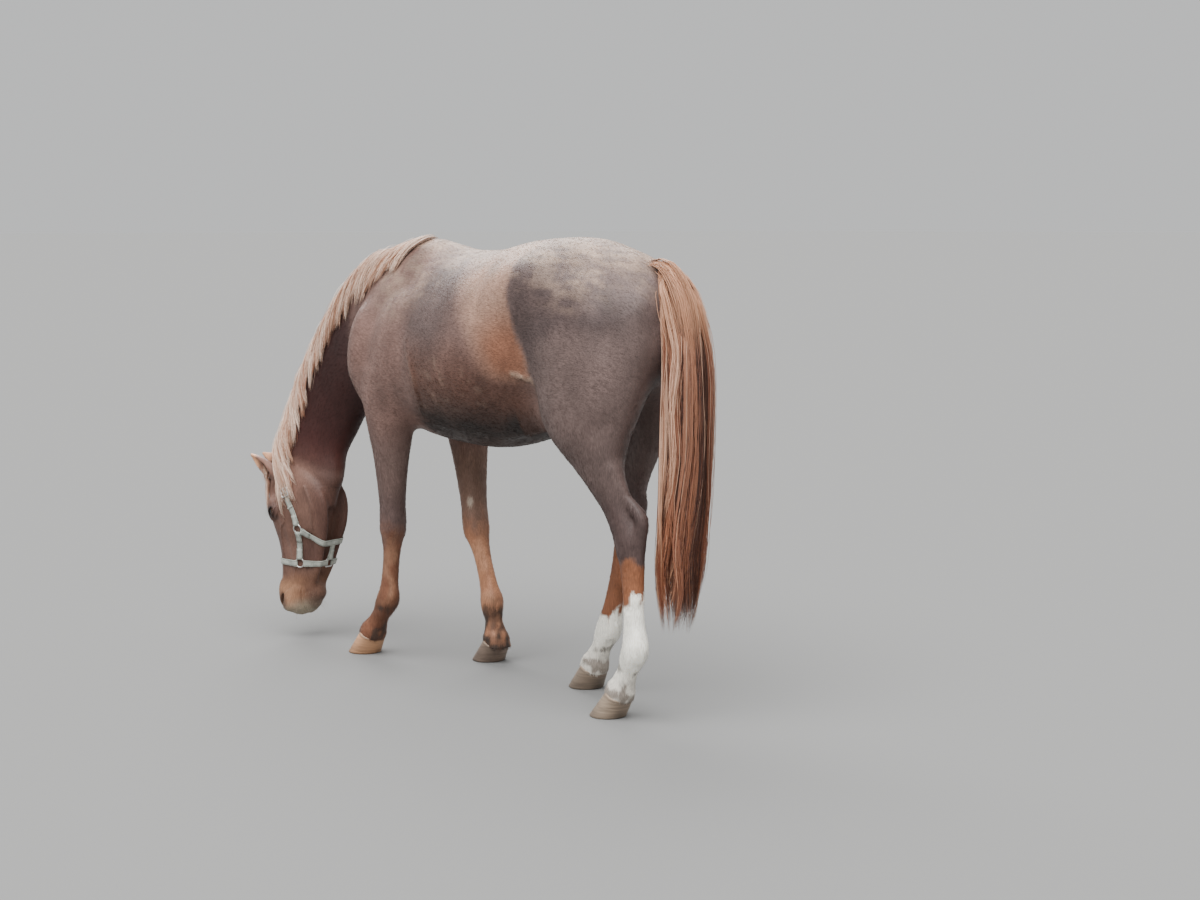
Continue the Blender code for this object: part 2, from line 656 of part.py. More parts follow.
NECK_CUT = (np.array([0, -.80, 1.115]), unit([.03, -.93, -.366]))
CROWN_POINT, THROAT_POINT = on_head(-.045, 0, 0), on_head(.075, 0, .28)
POLL_CUT = (CROWN_POINT, unit(np.cross(THROAT_POINT - CROWN_POINT, H_LEFT)))
FORE_CUT_Z, HIND_CUT_Z = .775, .84
HIND_FROM_Y = .24
SPARE = .02              # how far a part's surface runs on past its cut before it is trimmed

# ---- the hooves

HOOF_LENGTH, HOOF_WIDTH = .126, .118
BAND_TILT = 24           # degrees that the coronet rises towards the toe
BAND_DROP = .017         # the coronet's cut below the joint's middle, along the pastern
WALL_ANGLE = 56          # degrees of the hoof's front from the ground
TAPER = .82              # the hoof's width at the coronet's height against that at the ground
HEADING = {("fore", 1): 2, ("fore", -1): -3, ("hind", 1): 6, ("hind", -1): -6}


def past(p, cut):
    """How far past a cut's plane each point is."""
    return (p - cut[0]) @ cut[1]


def feet():
    for joints, which in ((FORE, "fore"), (HIND, "hind")):
        for side, name in ((1, "left"), (-1, "right")):
            coronet, fetlock = (np.array(joints[side][k]) for k in ("coronet", "fetlock"))
            yield which, side, name, coronet + unit(coronet - fetlock) * BAND_DROP


def toe_way(which, side):
    turn = radians(HEADING[which, side])
    return np.array([sin(turn), -cos(turn), 0.0])


def band_cut(coronet, toe):
    """The plane of the coronet, above which the leg ends and below which the hoof begins."""
    tilt = radians(BAND_TILT)
    return coronet, Z * cos(tilt) - toe * sin(tilt)


EYE_OUT = .0075           # the solid eyeball's middle outside the socket's

# ---- making objects

def material(name, colour, roughness, metallic=0.0):
    made = bpy.data.materials.new(name)
    made.use_nodes = True
    shader = made.node_tree.nodes["Principled BSDF"]
    shader.inputs["Base Color"].default_value = (*colour, 1.0)
    shader.inputs["Roughness"].default_value = roughness
    shader.inputs["Metallic"].default_value = metallic
    made.diffuse_color = (*colour, 1.0)
    return made


def scene_object(name, mesh, collection):
    made = bpy.data.objects.new(name, mesh)
    collection.objects.link(made)
    return made


def run_modifiers(obj):
    """Puts the mesh that the modifiers make in place of them."""
    bpy.context.view_layer.update()
    graph = bpy.context.evaluated_depsgraph_get()
    made = bpy.data.meshes.new_from_object(obj.evaluated_get(graph))
    obj.modifiers.clear()
    obj.data = made


def mesh_of(points, faces):
    mesh = bpy.data.meshes.new("surface")
    mesh.from_pydata([tuple(p) for p in points], [], [tuple(int(i) for i in f) for f in faces])
    bm = bmesh.new()
    bm.from_mesh(mesh)
    bmesh.ops.recalc_face_normals(bm, faces=bm.faces)
    bm.to_mesh(mesh)
    bm.free()
    return mesh


def thin_out(obj, triangles):
    """Collapses edges until about this many triangles are left."""
    modifier = obj.modifiers.new("thin out", "DECIMATE")
    modifier.ratio = min(1.0, triangles / (2 * len(obj.data.polygons)))
    modifier.use_collapse_triangulate = True
    run_modifiers(obj)


def keep_largest(obj):
    """Leaves only the largest body, without the crumbs of a cut."""
    bm = bmesh.new()
    bm.from_mesh(obj.data)
    unseen = set(bm.faces)
    bodies = []
    while unseen:
        found = {unseen.pop()}
        edge_of = list(found)
        while edge_of:
            face = edge_of.pop()
            near = {other for edge in face.edges for other in edge.link_faces} & unseen
            unseen -= near
            found |= near
            edge_of += near
        bodies.append(found)
    bodies.sort(key=lambda faces: sum(face.calc_area() for face in faces))
    for body_faces in bodies[:-1]:
        bmesh.ops.delete(bm, geom=list(body_faces), context="FACES")
    bm.to_mesh(obj.data)
    bm.free()


def trim(obj, point, normal, within=None):
    """Cuts off what lies past a plane and closes the cut. within picks the faces that it cuts."""
    bm = bmesh.new()
    bm.from_mesh(obj.data)
    faces = [f for f in bm.faces if within is None or within(f.calc_center_median())]
    geometry = {part for f in faces for part in (f, *f.edges, *f.verts)}
    bmesh.ops.bisect_plane(bm, geom=list(geometry), dist=1e-6, plane_co=Vector(point),
                           plane_no=Vector(normal), clear_outer=True)
    rim = [edge for edge in bm.edges if edge.is_boundary]
    bmesh.ops.holes_fill(bm, edges=rim, sides=0)
    bmesh.ops.triangulate(bm, faces=[f for f in bm.faces if len(f.verts) > 3])
    bmesh.ops.recalc_face_normals(bm, faces=bm.faces)
    bm.to_mesh(obj.data)
    bm.free()


def swollen(obj, by, collection):
    """A copy of the object whose surface stands this far outside it."""
    copy = scene_object(obj.name + "_swollen", obj.data.copy(), collection)
    copy.hide_render = True
    copy.display_type = "WIRE"
    moved = [v.co + v.normal * by for v in copy.data.vertices]
    for vertex, place in zip(copy.data.vertices, moved):
        vertex.co = place
    return copy


def carve(obj, cutters):
    """Takes the cutters away from the object."""
    for cutter in cutters:
        modifier = obj.modifiers.new("carve", "BOOLEAN")
        modifier.operation = "DIFFERENCE"
        modifier.solver = "EXACT"
        modifier.object = cutter
    run_modifiers(obj)
    keep_largest(obj)


def sampled(name, distance, low, high, voxel, triangles, parts):
    obj = scene_object(name, mesh_of(*skin_of(distance, low, high, voxel)), parts)
    keep_largest(obj)
    thin_out(obj, triangles)
    return obj


# ---- the flesh

def make_trunk(pieces, parts):
    def distance(p):
        floor = np.where(p[:, 1] > HIND_FROM_Y, HIND_CUT_Z, FORE_CUT_Z) - SPARE
        return np.maximum.reduce([field(p, pieces), floor - p[:, 2], past(p, NECK_CUT) - SPARE])

    trunk_part = sampled("trunk", distance, (-.40, -1.05, .70), (.40, .85, 1.55), .016, 1000, parts)
    trim(trunk_part, NECK_CUT[0] - GAP / 2 * NECK_CUT[1], NECK_CUT[1])
    trim(trunk_part, (0, 0, FORE_CUT_Z + GAP / 2), -Z, lambda c: c.y < HIND_FROM_Y)
    trim(trunk_part, (0, 0, HIND_CUT_Z + GAP / 2), -Z, lambda c: c.y > HIND_FROM_Y)
    return trunk_part


def make_neck(pieces, parts):
    def distance(p):
        return np.maximum.reduce([field(p, pieces), -past(p, NECK_CUT) - SPARE,
                                  past(p, POLL_CUT) - SPARE])

    neck_part = sampled("neck", distance, (-.25, -1.35, .50), (.30, -.60, 1.50), .011, 430, parts)
    trim(neck_part, NECK_CUT[0] + GAP / 2 * NECK_CUT[1], -NECK_CUT[1])
    trim(neck_part, POLL_CUT[0] - GAP / 2 * POLL_CUT[1], POLL_CUT[1])
    return neck_part


def make_head(pieces, parts):
    def distance(p):
        return np.maximum(field(p, pieces), -past(p, POLL_CUT) - SPARE)

    head_part = sampled("head", distance, (-.05, -1.42, .03), (.34, -.86, .76), .0055, 1360, parts)
    trim(head_part, POLL_CUT[0] + GAP / 2 * POLL_CUT[1], -POLL_CUT[1])
    return head_part


def make_leg(name, side, which, coronet, pieces, parts):
    top = FORE_CUT_Z if which == "fore" else HIND_CUT_Z
    band = band_cut(coronet, toe_way(which, side))

    def distance(p):
        return np.maximum.reduce([field(p, pieces), p[:, 2] - top - SPARE,
                                  -past(p, band) - SPARE, .02 - side * p[:, 0]])

    start, end = (-.90, -.12) if which == "fore" else (.10, .92)
    low = (min(0, side * .30), start, 0)
    high = (max(0, side * .30), end, top + 2 * SPARE)
    leg_part = sampled(f"{which}leg_{name}", distance, low, high, .0075, 380, parts)
    trim(leg_part, (0, 0, top - GAP / 2), Z)
    trim(leg_part, band[0] + GAP / 2 * band[1], -band[1])
    return leg_part


def make_hoof(name, side, which, coronet, parts):
    """A slanted frustum: a round toe, a flatter heel, a level sole and the coronet's slope."""
    toe = toe_way(which, side)
    across = np.cross(toe, Z)
    band = band_cut(coronet, toe)
    lean = band[0][2] / tan(radians(WALL_ANGLE))
    middle = band[0] * (1, 1, 0) + toe * lean
    rings = [[], []]
    for turn in np.linspace(0, 2 * pi, 22, endpoint=False):
        ahead = cos(turn) * (1.0 if cos(turn) > 0 else .86) * HOOF_LENGTH / 2
        off = toe * ahead + across * sin(turn) * HOOF_WIDTH / 2
        ground = middle + off
        up = (band[0] + TAPER * off) - ground
        t = -past(ground + GAP / 2 * band[1], band) / (up @ band[1])
        rings[0].append(ground)
        rings[1].append(ground + up * t)
    count = len(rings[0])
    sides = [(i, (i + 1) % count, count + (i + 1) % count, count + i) for i in range(count)]
    faces = sides + [tuple(range(count))[::-1], tuple(range(count, 2 * count))]
    return scene_object(f"hoof_{which}_{name}", mesh_of(rings[0] + rings[1], faces), parts)


def make_eye(name, side, head_part, parts, guides):
    bm = bmesh.new()
    centre = on_head(EYE[0], side * EYE[1], EYE[2])
    place = Matrix.Translation(centre + H_LEFT * side * EYE_OUT)
    bmesh.ops.create_icosphere(bm, subdivisions=2, radius=EYE_R, matrix=place)
    mesh = bpy.data.meshes.new("eye")
    bm.to_mesh(mesh)
    bm.free()
    eye = scene_object("eye_" + name, mesh, parts)
    carve(head_part, [swollen(eye, GAP * 1.5, guides)])
    return eye


def make_ear(name, side, parts, neighbours):
    pieces = ear(side)
    low = np.min([p.low for p in pieces], axis=0) - .01
    high = np.max([p.high for p in pieces], axis=0) + .01
    made = sampled("ear_" + name, lambda p: field(p, pieces), low, high, .0028, 150, parts)
    carve(made, neighbours)
    return made


# ---- the long hair

def locks(ways, widths, depths, pieces, blend):
    """A flat tapering piece for each lock, along its way from root to tip."""
    outward = normals(ways.reshape(-1, 3), pieces).reshape(ways.shape)
    made = []
    for way, out in zip(ways.swapaxes(0, 1), outward.swapaxes(0, 1)):
        along = unit(np.gradient(way, axis=0))
        stations = np.column_stack([way, widths, depths, depths * .7])
        made.append(tube(stations, np.cross(out, along), blend, 2.2, 2))
    return made


def make_hair(name, hair, voxel, triangles, parts):
    low = np.min([p.low for p in hair], axis=0) - .02
    high = np.max([p.high for p in hair], axis=0) + .02
    return sampled(name, lambda p: field(p, hair), low, high, voxel, triangles, parts)


def make_mane(pieces, parts):
    count, steps = 20, 6
    roots, left = crest(count, pieces)
    share = np.linspace(0, 1, count)
    length = np.interp(share, *LOCK_LENGTHS) * (1 + .12 * np.cos(np.arange(count) * pi))
    ways = fall(roots - .016 * left, left, np.interp(share, *LOCK_LEANS), length, steps, pieces)
    step = np.arange(steps + 1)
    widths = np.interp(step, (0, 3, 5, steps), (.030, .036, .026, .008))
    depths = np.interp(step, (0, 1, 2, 5, steps), (.009, .015, .015, .010, .005))
    return make_hair("mane", locks(ways, widths, depths, pieces, .016), .0085, 320, parts)


def make_forelock(pieces, parts):
    count, steps = 3, 5
    p = np.array([on_head(-.012, x, -.006) for x in np.linspace(-.024, .034, count)])
    fan = np.array([H_LEFT * (.10 + .16 * x) + H_DOWN for x in np.linspace(-1, 1, count)])
    ways = [settle(p, pieces, 0.0)]
    for _ in range(steps):
        ways.append(settle(ways[-1] + unit(fan) * .038, pieces, 0.0))
    step = np.arange(steps + 1)
    widths = np.interp(step, (0, 2, steps), (.012, .013, .004))
    depths = np.interp(step, (0, 1, steps), (.010, .014, .004))
    return make_hair("forelock", locks(np.array(ways), widths, depths, pieces, .008), .005, 70, parts)


# ---- the headcollar

LIFT = .003              # the middle of the webbing over the skin
SINK = .0045             # how far webbing that lies on the skin runs into it before it is carved
NEAR = .0055             # webbing further off than this spans a hollow
BUCKLE_REACH = .021      # from a square ring's middle to its corners


def make_strap(name, way, pieces, parts):
    """A flat band along a way over the skin."""
    outward = normals(way, pieces)
    for _ in range(3):
        padded = np.vstack([outward[:1], outward, outward[-1:]])
        outward = unit(padded[:-2] + 2 * padded[1:-1] + padded[2:])
    tangent = unit(np.gradient(way, axis=0))
    across = unit(np.cross(tangent, outward)) * WEB / 2
    outward = unit(np.cross(across, tangent))
    lying = np.clip((NEAR - field(way, pieces)) / .002, 0, 1)[:, None]
    top = way + outward * WEB_THICK / 2
    under = way - outward * (WEB_THICK / 2 + SINK * lying)
    points = np.concatenate([top - across, top + across, under + across, under - across])
    count = len(way)
    faces = [(c * count + i, c * count + i + 1, (c + 1) % 4 * count + i + 1, (c + 1) % 4 * count + i)
             for c in range(4) for i in range(count - 1)]
    faces += [tuple(c * count for c in range(4)), tuple(c * count + count - 1 for c in range(4))]
    return scene_object("strap_" + name, mesh_of(points, faces), parts)


def facing(centre, outward, up):
    """The matrix of something that lies at centre, its axis outward and its X across up."""
    x = unit(np.cross(up, outward))
    y = np.cross(outward, x)
    turned = Matrix((x, y, outward)).transposed().to_4x4()
    return Matrix.Translation(centre) @ turned


def make_ring(name, centre, outward, up, parts, corners=10, radius=RING):
    """A ring of wire, or a square one when it has four corners."""
    bpy.ops.mesh.primitive_torus_add(major_radius=radius, minor_radius=RING_WIRE,
                                     major_segments=corners, minor_segments=5)
    ring = bpy.context.active_object
    ring.name = name
    for owner in ring.users_collection:
        owner.objects.unlink(ring)
    parts.objects.link(ring)
    ring.data.transform(Matrix.Rotation(pi / corners, 4, "Z"))
    ring.matrix_world = facing(centre, outward, up)
    return ring


def ring_clearance(ring, guides, radius=RING):
    """A disc as wide as the ring and a little more, which ends webbing or hair at the ring."""
    bm = bmesh.new()
    bmesh.ops.create_cone(bm, cap_ends=True, segments=16, depth=.04,
                          radius1=radius + RING_WIRE + GAP * 2, radius2=radius + RING_WIRE + GAP * 2)
    mesh = bpy.data.meshes.new("clearance")
    bm.to_mesh(mesh)
    bm.free()
    disc = scene_object(ring.name + "_clearance", mesh, guides)
    disc.matrix_world = ring.matrix_world
    disc.hide_render = True
    disc.display_type = "WIRE"
    return disc


def make_headcollar(pieces, flesh, ears, parts, guides):
    ways = straps(pieces, LIFT)
    rings = []
    for name, place in (("upper", UPPER_RING), ("lower", LOWER_RING)):
        for side_name, side in (("left", 1), ("right", -1)):
            spot = on_head(place[0], side * place[1], place[2])[None]
            spot = settle(spot, pieces, RING_WIRE + .0022)
            rings.append(make_ring(f"ring_{name}_{side_name}", spot[0],
                                   normals(spot, pieces)[0], H_DOWN, parts))
    chin = ways["chin_left"][-1]
    chin_out = normals(chin[None], pieces)[0]
    rings.append(make_ring("ring_chin", chin + chin_out * .003, chin_out, H_DOWN, parts, 4, BUCKLE_REACH))
    clear = [ring_clearance(ring, guides) for ring in rings[:4]]
    clear.append(ring_clearance(rings[4], guides, BUCKLE_REACH))
    made = {name: make_strap(name, way, pieces, parts) for name, way in ways.items()}
    grown_ears = [swollen(one, 2 * GAP, guides) for one in ears]
    grown_flesh = [swollen(one, 1.5 * GAP, guides) for one in flesh]
    earlier = []
    for name, strap in made.items():
        carve(strap, clear + grown_flesh + earlier + (grown_ears if name == "crown" else []))
        earlier.append(swollen(strap, 2 * GAP, guides))
    at = round(BUCKLE * (len(ways["crown"]) - 1) / 2)
    spot, way = ways["crown"][at], unit(ways["crown"][at + 1] - ways["crown"][at - 1])
    out = normals(spot[None], pieces)[0]
    lifted = spot + out * (WEB_THICK / 2 + RING_WIRE + GAP)
    buckle = make_ring("buckle", lifted, out, way, parts, 4, BUCKLE_REACH)
    return list(made.values()), rings + [buckle]


# ---- the whole horse

COAT, LEG_COAT, FACE_COAT = (.17, .085, .065), (.21, .09, .05), (.19, .085, .055)
FLAXEN, TAIL_RED = (.42, .28, .17), (.27, .12, .06)
HORN, EYE_BROWN = (.16, .11, .07), (.02, .012, .008)
WEBBING, STEEL = (.38, .40, .36), (.55, .55, .54)
SMOOTH_UNDER = 45        # degrees between faces that are shaded as one


def finish(obj, colour, roughness, metallic=0.0):
    obj.data.materials.clear()
    obj.data.materials.append(material(obj.name, colour, roughness, metallic))
    obj.data.shade_smooth()
    obj.data.set_sharp_from_angle(angle=radians(SMOOTH_UNDER))


def build():
    for old in list(bpy.data.objects):
        bpy.data.objects.remove(old)
    parts = bpy.data.collections.new("horse")
    guides = bpy.data.collections.new("guides")
    bpy.context.scene.collection.children.link(parts)
    bpy.context.scene.collection.children.link(guides)

    pieces = body()
    trunk_part = make_trunk(pieces, parts)
    neck_part = make_neck(pieces, parts)
    head_part = make_head(pieces, parts)
    legs, hooves = [], []
    for which, side, name, coronet in feet():
        legs.append(make_leg(name, side, which, coronet, pieces, parts))
        hooves.append(make_hoof(name, side, which, coronet, parts))
    eyes = [make_eye(name, side, head_part, parts, guides) for side, name in ((1, "left"), (-1, "right"))]
    flesh = [head_part, neck_part]
    around_head = [swollen(one, 2 * GAP, guides) for one in flesh]
    ears = [make_ear(name, side, parts, around_head) for side, name in ((1, "left"), (-1, "right"))]
    webbing, metal = make_headcollar(pieces, flesh, ears, parts, guides)

    mane = make_mane(pieces, parts)
    forelock = make_forelock(pieces, parts)
    tail_part = make_hair("tail", tail(), .013, 440, parts)
    around = around_head + [swollen(one, 2 * GAP, guides) for one in (trunk_part, *ears)]
    around += [swollen(one, 4 * GAP, guides) for one in webbing]
    around += [ring_clearance(one, guides) for one in metal[:4]]
    around += [ring_clearance(one, guides, BUCKLE_REACH) for one in metal[4:]]
    carve(mane, around)
    around.append(swollen(mane, 4 * GAP, guides))
    carve(forelock, around)
    carve(tail_part, [swollen(trunk_part, 2 * GAP, guides)])

    finish(trunk_part, COAT, .6)
    for part in (head_part, neck_part, *ears):
        finish(part, FACE_COAT, .6)
    for part in legs:
        finish(part, LEG_COAT, .6)
    for part in hooves:
        finish(part, HORN, .5)
    for part in eyes:
        finish(part, EYE_BROWN, .1)
    for part in (mane, forelock):
        finish(part, FLAXEN, .7)
    finish(tail_part, TAIL_RED, .7)
    for part in webbing:
        finish(part, WEBBING, .8)
    for part in metal:
        finish(part, STEEL, .35, 1.0)

    for guide in list(guides.objects):
        bpy.data.objects.remove(guide)
    bpy.data.collections.remove(guides)
    for part in parts.objects:
        place = Matrix.Translation((0, -MIDDLE_Y, 0)) @ part.matrix_world
        part.data.transform(place)
        part.matrix_world = Matrix()
        part.data.update()


build()
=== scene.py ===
"""The looks of a grazing chestnut horse in its headcollar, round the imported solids.

Metres. X is to the horse's left, Y towards its tail, Z up, and the floor is at Z = 0. The body is
the same field of distances as in the solids, sampled finely as one skin. The coat, mane and tail
are joined strands that lie over it.
"""

from math import cos, pi, radians, sin, tan

import bmesh
import bpy
import numpy as np
import openvdb
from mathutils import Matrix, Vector


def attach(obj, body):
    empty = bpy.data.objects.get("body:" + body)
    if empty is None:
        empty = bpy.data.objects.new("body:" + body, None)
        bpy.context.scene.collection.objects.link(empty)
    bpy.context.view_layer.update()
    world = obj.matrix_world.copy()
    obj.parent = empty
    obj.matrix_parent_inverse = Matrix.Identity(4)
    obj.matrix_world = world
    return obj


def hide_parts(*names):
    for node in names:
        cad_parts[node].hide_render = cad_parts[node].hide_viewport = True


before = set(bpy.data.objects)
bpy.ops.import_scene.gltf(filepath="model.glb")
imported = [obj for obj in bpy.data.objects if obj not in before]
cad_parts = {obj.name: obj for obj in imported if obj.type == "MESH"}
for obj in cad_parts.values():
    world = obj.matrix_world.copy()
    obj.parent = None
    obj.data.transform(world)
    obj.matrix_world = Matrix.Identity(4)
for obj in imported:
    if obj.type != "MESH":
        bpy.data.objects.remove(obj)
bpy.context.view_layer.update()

MIDDLE_Y = -.214         # the Y, in what follows, that is the frame's Y = 0
random = np.random.default_rng(7)

# ---- a field of distances, below zero inside the animal

FAR = 1.0        # what the field says where no piece is near
MARGIN = 0.03    # how far past its own box a piece still counts
X, Y, Z = np.eye(3)


def unit(v):
    v = np.asarray(v, float)
    return v / np.linalg.norm(v, axis=-1, keepdims=True)


def run_of(way):
    """How far along a way each of its places is."""
    return np.concatenate([[0], np.cumsum(np.linalg.norm(np.diff(way, axis=0), axis=1))])


def read_off(at, run, rows):
    """Rows that belong to places along a run, read off at other places along it."""
    return np.stack([np.interp(at, run, column) for column in rows.T], 1)


def soft_union(a, b, width):
    """The nearer of two distances, with a fillet of this width where they meet."""
    h = np.clip(0.5 + 0.5 * (b - a) / width, 0.0, 1.0)
    return b + (a - b) * h - width * h * (1.0 - h)


def spline(rows, steps):
    """The rows as stations of a Catmull-Rom curve, with this many steps between each two."""
    rows = np.asarray(rows, float)
    padded = np.vstack([2 * rows[0] - rows[1], rows, 2 * rows[-1] - rows[-2]])
    stations = []
    for i in range(1, len(padded) - 2):
        before, here, there, after = padded[i - 1:i + 3]
        for t in np.arange(steps) / steps:
            bend = (2 * before - 5 * here + 4 * there - after) * t * t
            twist = (3 * here - before - 3 * there + after) * t ** 3
            stations.append(0.5 * (2 * here + (there - before) * t + bend + twist))
    stations.append(rows[-1])
    return np.array(stations)


def oval(u, v, half_u, half_v, power):
    """How far u, v is from a superellipse, and its radius as a share of the outline's."""
    p = np.abs(u) / half_u + 1e-6
    q = np.abs(v) / half_v + 1e-6
    total = p ** power + q ** power
    share = total ** (1.0 / power)
    steepness = np.hypot(p ** (power - 1) / half_u, q ** (power - 1) / half_v)
    return (share - 1.0) / np.maximum(total ** (1.0 / power - 1.0) * steepness, 1e-6), share


class Piece:
    """One rounded shape of the body: its box, its distance, its fillet, and whether it cuts."""

    def __init__(self, points, reach, distance, blend, cuts):
        self.low = np.min(points - reach, axis=0)
        self.high = np.max(points + reach, axis=0)
        self.distance = distance
        self.blend = blend
        self.cuts = cuts


def ellipsoid(centre, axes, radii, blend, cuts=False):
    centre, axes, radii = (np.asarray(v, float) for v in (centre, axes, radii))

    def distance(p):
        q = (p - centre) @ axes.T
        share = np.sqrt(((q / radii) ** 2).sum(1))
        steepness = np.sqrt(((q / radii ** 2) ** 2).sum(1)) + 1e-9
        return share * (share - 1.0) / steepness

    reach = np.sqrt(((axes * radii[:, None]) ** 2).sum(0))
    return Piece(centre[None], reach, distance, blend, cuts)


def muscle(start, end, width, depth, facing, blend, cuts=False):
    """An ellipsoid from start to end, this wide and this deep, its flat side turned to facing."""
    start, end, facing = (np.asarray(v, float) for v in (start, end, facing))
    along = unit(end - start)
    out = unit(facing - along * (facing @ along))
    radii = (np.linalg.norm(end - start) / 2, width, depth)
    return ellipsoid((start + end) / 2, (along, np.cross(out, along), out), radii, blend, cuts)


def ball(centre, radii, blend, cuts=False):
    return ellipsoid(centre, np.eye(3), np.ones(3) * radii, blend, cuts)


def tube(rows, side, blend, power=2.0, steps=5, cuts=False):
    """Stations of x, y, z, half width, half depth in front and half depth behind, joined by a
    spline. side is the width's direction, one for all the stations or one for each."""
    rows = np.asarray(rows, float)
    sides = np.broadcast_to(np.asarray(side, float), (len(rows), 3))
    path = spline(np.hstack([rows, sides]), steps)
    middle, radii, width = path[:, :3], path[:, 3:6], path[:, 6:9]
    tangent = unit(np.gradient(middle, axis=0))
    last = len(middle) - 1

    def distance(p):
        nearest = np.full(len(p), 1e9)
        station = np.zeros(len(p))
        for i in range(last):
            step = middle[i + 1] - middle[i]
            t = np.clip((p - middle[i]) @ step / (step @ step), 0, 1)
            gap = ((p - middle[i] - t[:, None] * step) ** 2).sum(1)
            closer = gap < nearest
            nearest[closer] = gap[closer]
            station[closer] = i + t[closer]
        below = np.minimum(station.astype(int), last - 1)
        part = (station - below)[:, None]

        def at(values):
            return values[below] * (1 - part) + values[below + 1] * part

        t_axis = unit(at(tangent))
        s_axis = at(width)
        s_axis = unit(s_axis - t_axis * (t_axis * s_axis).sum(1)[:, None])
        f_axis = np.cross(t_axis, s_axis)
        size = at(radii)
        off = p - at(middle)
        u = (off * s_axis).sum(1)
        v = (off * f_axis).sum(1)
        depth = np.where(v >= 0, size[:, 1], size[:, 2])
        gap = oval(u, v, size[:, 0], depth, power)[0]
        beyond = np.abs((off * t_axis).sum(1))
        at_end = ((station <= 0) | (station >= last)) & (beyond > 0)
        return np.where(at_end, np.hypot(np.maximum(gap, 0), beyond), gap)

    return Piece(middle, radii.max(1)[:, None], distance, blend, cuts)


STEEPEST = 1.2    # a loft's slope along its length, at most, as a share of that across it


def loft(rows, origin, axes, blend, steps=6, cuts=False):
    """Sections along the first axis: place, top, bottom, half width, height of the widest part,
    and how square the section is above and below it."""
    stations = spline(rows, steps)
    place = stations[:, 0]
    origin, axes = np.asarray(origin, float), np.asarray(axes, float)

    def share_at(q, s):
        top, bottom, half, widest, above, under = (np.interp(s, place, c) for c in stations.T[1:])
        v = q[:, 2] - widest
        depth = np.maximum(np.where(v >= 0, top - widest, widest - bottom), 1e-3)
        return oval(q[:, 1], v, np.maximum(half, 1e-3), depth, np.where(v >= 0, above, under))

    def distance(p):
        q = (p - origin) @ axes.T
        s = np.clip(q[:, 0], place[0], place[-1])
        beyond = np.abs(q[:, 0] - s)
        gap, share = share_at(q, s)
        step = 2e-3
        along = np.abs(share_at(q, s + step)[1] - share_at(q, s - step)[1]) / (2 * step)
        level = np.abs(gap) < 1e-9
        across = np.abs(np.where(level, 1.0, (share - 1) / np.where(level, 1.0, gap)))
        slope = np.hypot(np.minimum(along, STEEPEST * across), across)
        gap = (share - 1) / np.maximum(slope, 1e-6)
        return np.where(beyond > 0, np.hypot(np.maximum(gap, 0), beyond), gap)

    width = stations[:, 3].max()
    corners = [origin + s * axes[0] + u * axes[1] + v * axes[2]
               for s in (place[0], place[-1])
               for u in (-width, width)
               for v in (stations[:, 2].min(), stations[:, 1].max())]
    return Piece(np.array(corners), 0.0, distance, blend, cuts)


def field(p, pieces):
    """The body's distance at each point, from all the pieces near it."""
    d = np.full(len(p), FAR)
    for piece in pieces:
        reach = piece.blend + MARGIN
        near = ((p > piece.low - reach) & (p < piece.high + reach)).all(1)
        if not near.any():
            continue
        q = p[near]
        outside = np.maximum(np.maximum(piece.low - q, q - piece.high), 0)
        outside = np.sqrt((outside ** 2).sum(1))
        gap = piece.distance(q)
        gap = np.where(outside > 0, np.maximum(gap, outside), gap)
        if piece.cuts:
            d[near] = -soft_union(-d[near], gap, piece.blend)
        else:
            d[near] = soft_union(d[near], gap, piece.blend)
    return d


def normals(p, pieces, step=1e-3):
    """The field's slope at each point, of length one."""
    return unit(np.stack([field(p + step * a, pieces) - field(p - step * a, pieces)
                          for a in (X, Y, Z)], axis=1) + 1e-12)


def settle(p, pieces, height, rounds=4):
    """The points moved along the slope until they are this high over the skin."""
    for _ in range(rounds):
        p = p - normals(p, pieces) * (field(p, pieces) - height)[:, None]
    return p


def skin_of(distance, low, high, voxel, block=8):
    """The surface where distance is zero, as points and quads, sampled in blocks near it."""
    low = np.asarray(low, float)
    count = np.ceil((np.asarray(high) - low) / (voxel * block)).astype(int)
    cells = np.stack(np.meshgrid(*map(np.arange, count), indexing="ij"), -1).reshape(-1, 3)
    middle = low + (cells + 0.5) * voxel * block
    reach = 1.5 * voxel * block
    cells = cells[np.abs(distance(middle)) < reach]
    inner = np.stack(np.meshgrid(*[np.arange(block)] * 3, indexing="ij"), -1).reshape(-1, 3)
    band = 3 * voxel
    grid = openvdb.FloatGrid(band)
    for first in range(0, len(cells), 400):
        group = cells[first:first + 400]
        p = low + (group[:, None, :] * block + inner) * voxel
        d = np.clip(distance(p.reshape(-1, 3)), -band, band).astype(np.float32)
        for cell, values in zip(group, d.reshape(-1, block, block, block)):
            if values.min() < band:
                grid.copyFromArray(values, ijk=tuple(int(c) for c in cell * block))
    grid.gridClass = openvdb.GridClass.LEVEL_SET
    grid.signedFloodFill()
    points, quads = grid.convertToQuads(isovalue=0.0)
    return low + points.astype(float) * voxel, quads


# ---- the trunk, along the back from the breast to the buttocks

